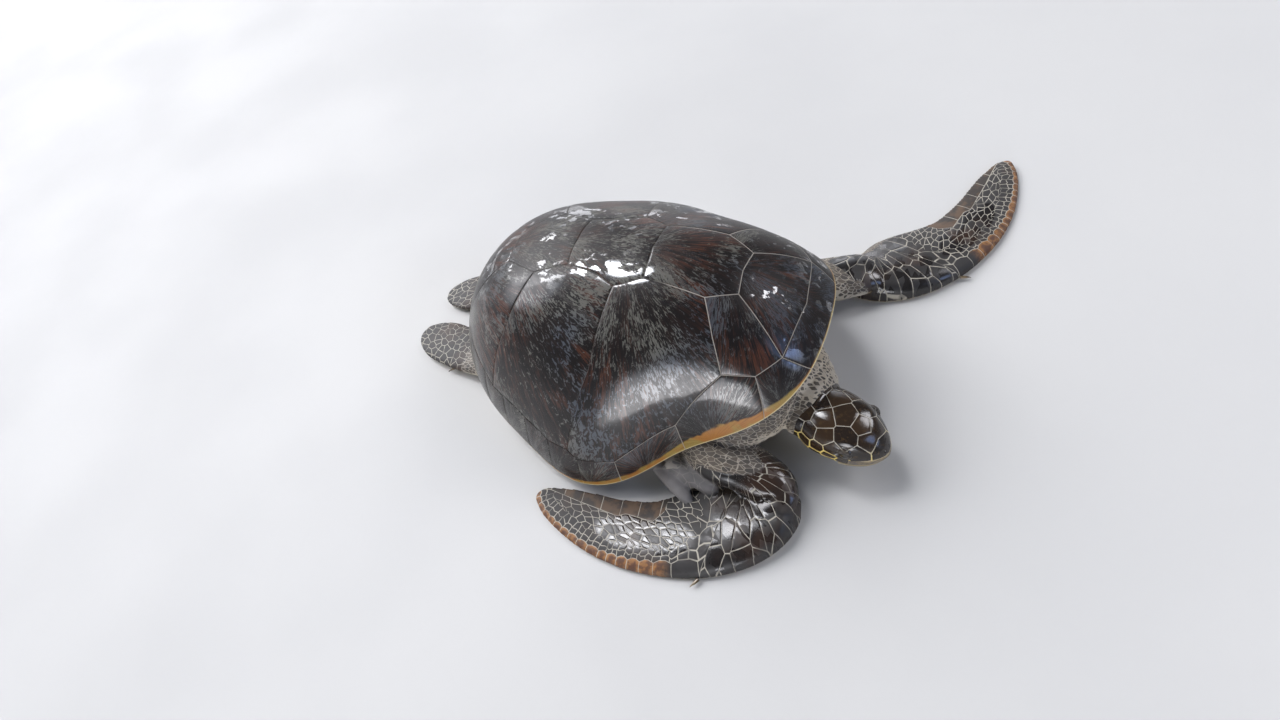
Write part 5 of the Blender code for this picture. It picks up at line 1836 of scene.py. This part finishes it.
def sky_world(scene, strength):
    """Even light from all round, dimmer overhead, with soft patches that only wet surfaces show."""
    world = bpy.data.worlds.new("Even sky")
    scene.world = world
    world.use_nodes = True
    nodes = Nodes(world.node_tree)
    place = nodes.made("ShaderNodeTexCoord", {}, "Generated")
    high = nodes.split(place)[2]
    colour = plain_colour = nodes.mix(nodes.step(high, -0.05, 0.45), (0.90, 0.94, 1.0), (0.80, 0.88, 1.0))
    light = nodes.step(high, -0.05, 0.45, 0.95 * strength, 0.20 * strength)
    plain_light = light + 0.10
    for toward, core, reach, power, tint in PATCHES:
        near = nodes.vector("DOT_PRODUCT", place, tuple(direction(*toward)))
        patch = nodes.step(near, math.cos(math.radians(reach)), math.cos(math.radians(core)))
        colour = nodes.mix(patch, colour, tint)
        light = light + patch * power
    direct = nodes.made("ShaderNodeLightPath", {}, "Is Camera Ray")
    nodes.fill(world.node_tree.nodes["Background"], {
        "Color": nodes.mix(direct, colour, plain_colour),
        "Strength": nodes.pick(direct, light, plain_light),
    })


def far_light(name, toward, angle, power, colour):
    """A soft round light far away, so that the floor stays even."""
    data = bpy.data.lights.new(name, "SUN")
    data.energy = power
    data.angle = math.radians(angle)
    data.color = colour
    light = bpy.data.objects.new(name, data)
    bpy.context.scene.collection.objects.link(light)
    light.rotation_euler = direction(*toward).to_track_quat("Z", "Y").to_euler()


def floor_material():
    s = settings("turtle_studio")
    material, shader, nodes = new_material("Pale floor")
    tone = nodes.noise(nodes.object_place(), 1.3, 4.0, 0.5)
    colour = nodes.mix(nodes.step(tone, 0.35, 0.65, 0.0, 0.22), s.floor, (0.40, 0.40, 0.40))
    nodes.fill(shader, {"Base Color": colour, "Roughness": nodes.step(tone, 0.3, 0.7, 0.62, 0.72)})
    return material


def aimed_camera(lens):
    """The camera, turned, tilted and rolled over the turtle."""
    data = bpy.data.cameras.new("camera")
    data.sensor_fit = "HORIZONTAL"
    data.sensor_width = 36.0
    data.lens = lens
    data.clip_start = 0.05
    data.clip_end = 60.0
    camera = bpy.data.objects.new("camera", data)
    bpy.context.scene.collection.objects.link(camera)
    ahead = direction(math.degrees(CAMERA_TURN), -math.degrees(CAMERA_TILT))
    level = Vector((math.sin(CAMERA_TURN), -math.cos(CAMERA_TURN), 0.0))
    high = level.cross(ahead)
    right = level * math.cos(CAMERA_ROLL) + high * math.sin(CAMERA_ROLL)
    up = high * math.cos(CAMERA_ROLL) - level * math.sin(CAMERA_ROLL)
    turn = Matrix((right, up, -ahead)).transposed().to_4x4()
    camera.matrix_world = Matrix.Translation(Vector(CAMERA_PLACE) + ORIGIN) @ turn
    return camera


class TURTLE_OT_studio(Operator):
    """Set the plain floor, the soft lights and the camera"""

    bl_idname = "turtle.studio"
    bl_label = "Studio"

    def execute(self, context):
        s = settings("turtle_studio")
        form = bmesh.new()
        bmesh.ops.create_grid(form, x_segments=1, y_segments=1, size=14.0)
        floor = new_piece("floor", form)
        floor.data.materials.append(floor_material())
        sky_world(context.scene, s.sky)
        far_light("main_sky", (158.0, 37.0), 42.0, 3.0, (0.97, 0.97, 1.0))
        far_light("front_gap", (37.0, 38.0), 22.0, 1.1, (0.96, 0.95, 1.0))
        context.scene.camera = aimed_camera(s.lens)
        context.scene.view_settings.view_transform = "Standard"
        return {"FINISHED"}


class TURTLE_PT_panel(Panel):
    """Lists the settings and the steps that build the turtle."""

    bl_label = "Green Sea Turtle"
    bl_idname = "TURTLE_PT_panel"
    bl_space_type = "VIEW_3D"
    bl_region_type = "UI"
    bl_category = "Turtle"

    def draw(self, context):
        for label in ("shell", "skin", "studio"):
            box = self.layout.box()
            box.label(text=label.title())
            holder = getattr(context.scene, "turtle_" + label)
            for key in type(holder).__annotations__:
                box.prop(holder, key)
        for step in STEPS:
            self.layout.operator(step.bl_idname)


SETTINGS = (TurtleShellSettings, TurtleSkinSettings, TurtleStudioSettings)
STEPS = (
    TURTLE_OT_carapace,
    TURTLE_OT_plastron,
    TURTLE_OT_skin,
    TURTLE_OT_eyes,
    TURTLE_OT_beak,
    TURTLE_OT_claws,
    TURTLE_OT_studio,
)


def register():
    for item in SETTINGS + STEPS + (TURTLE_PT_panel,):
        bpy.utils.register_class(item)
    bpy.types.Scene.turtle_shell = PointerProperty(type=TurtleShellSettings)
    bpy.types.Scene.turtle_skin = PointerProperty(type=TurtleSkinSettings)
    bpy.types.Scene.turtle_studio = PointerProperty(type=TurtleStudioSettings)


def unregister():
    del bpy.types.Scene.turtle_studio
    del bpy.types.Scene.turtle_skin
    del bpy.types.Scene.turtle_shell
    for item in reversed(SETTINGS + STEPS + (TURTLE_PT_panel,)):
        bpy.utils.unregister_class(item)


def main():
    """Builds everything in order."""
    register()
    bpy.ops.turtle.carapace()
    bpy.ops.turtle.plastron()
    bpy.ops.turtle.skin()
    bpy.ops.turtle.eyes()
    bpy.ops.turtle.beak()
    bpy.ops.turtle.claws()
    bpy.ops.turtle.studio()


if __name__ == "__main__":
    main()
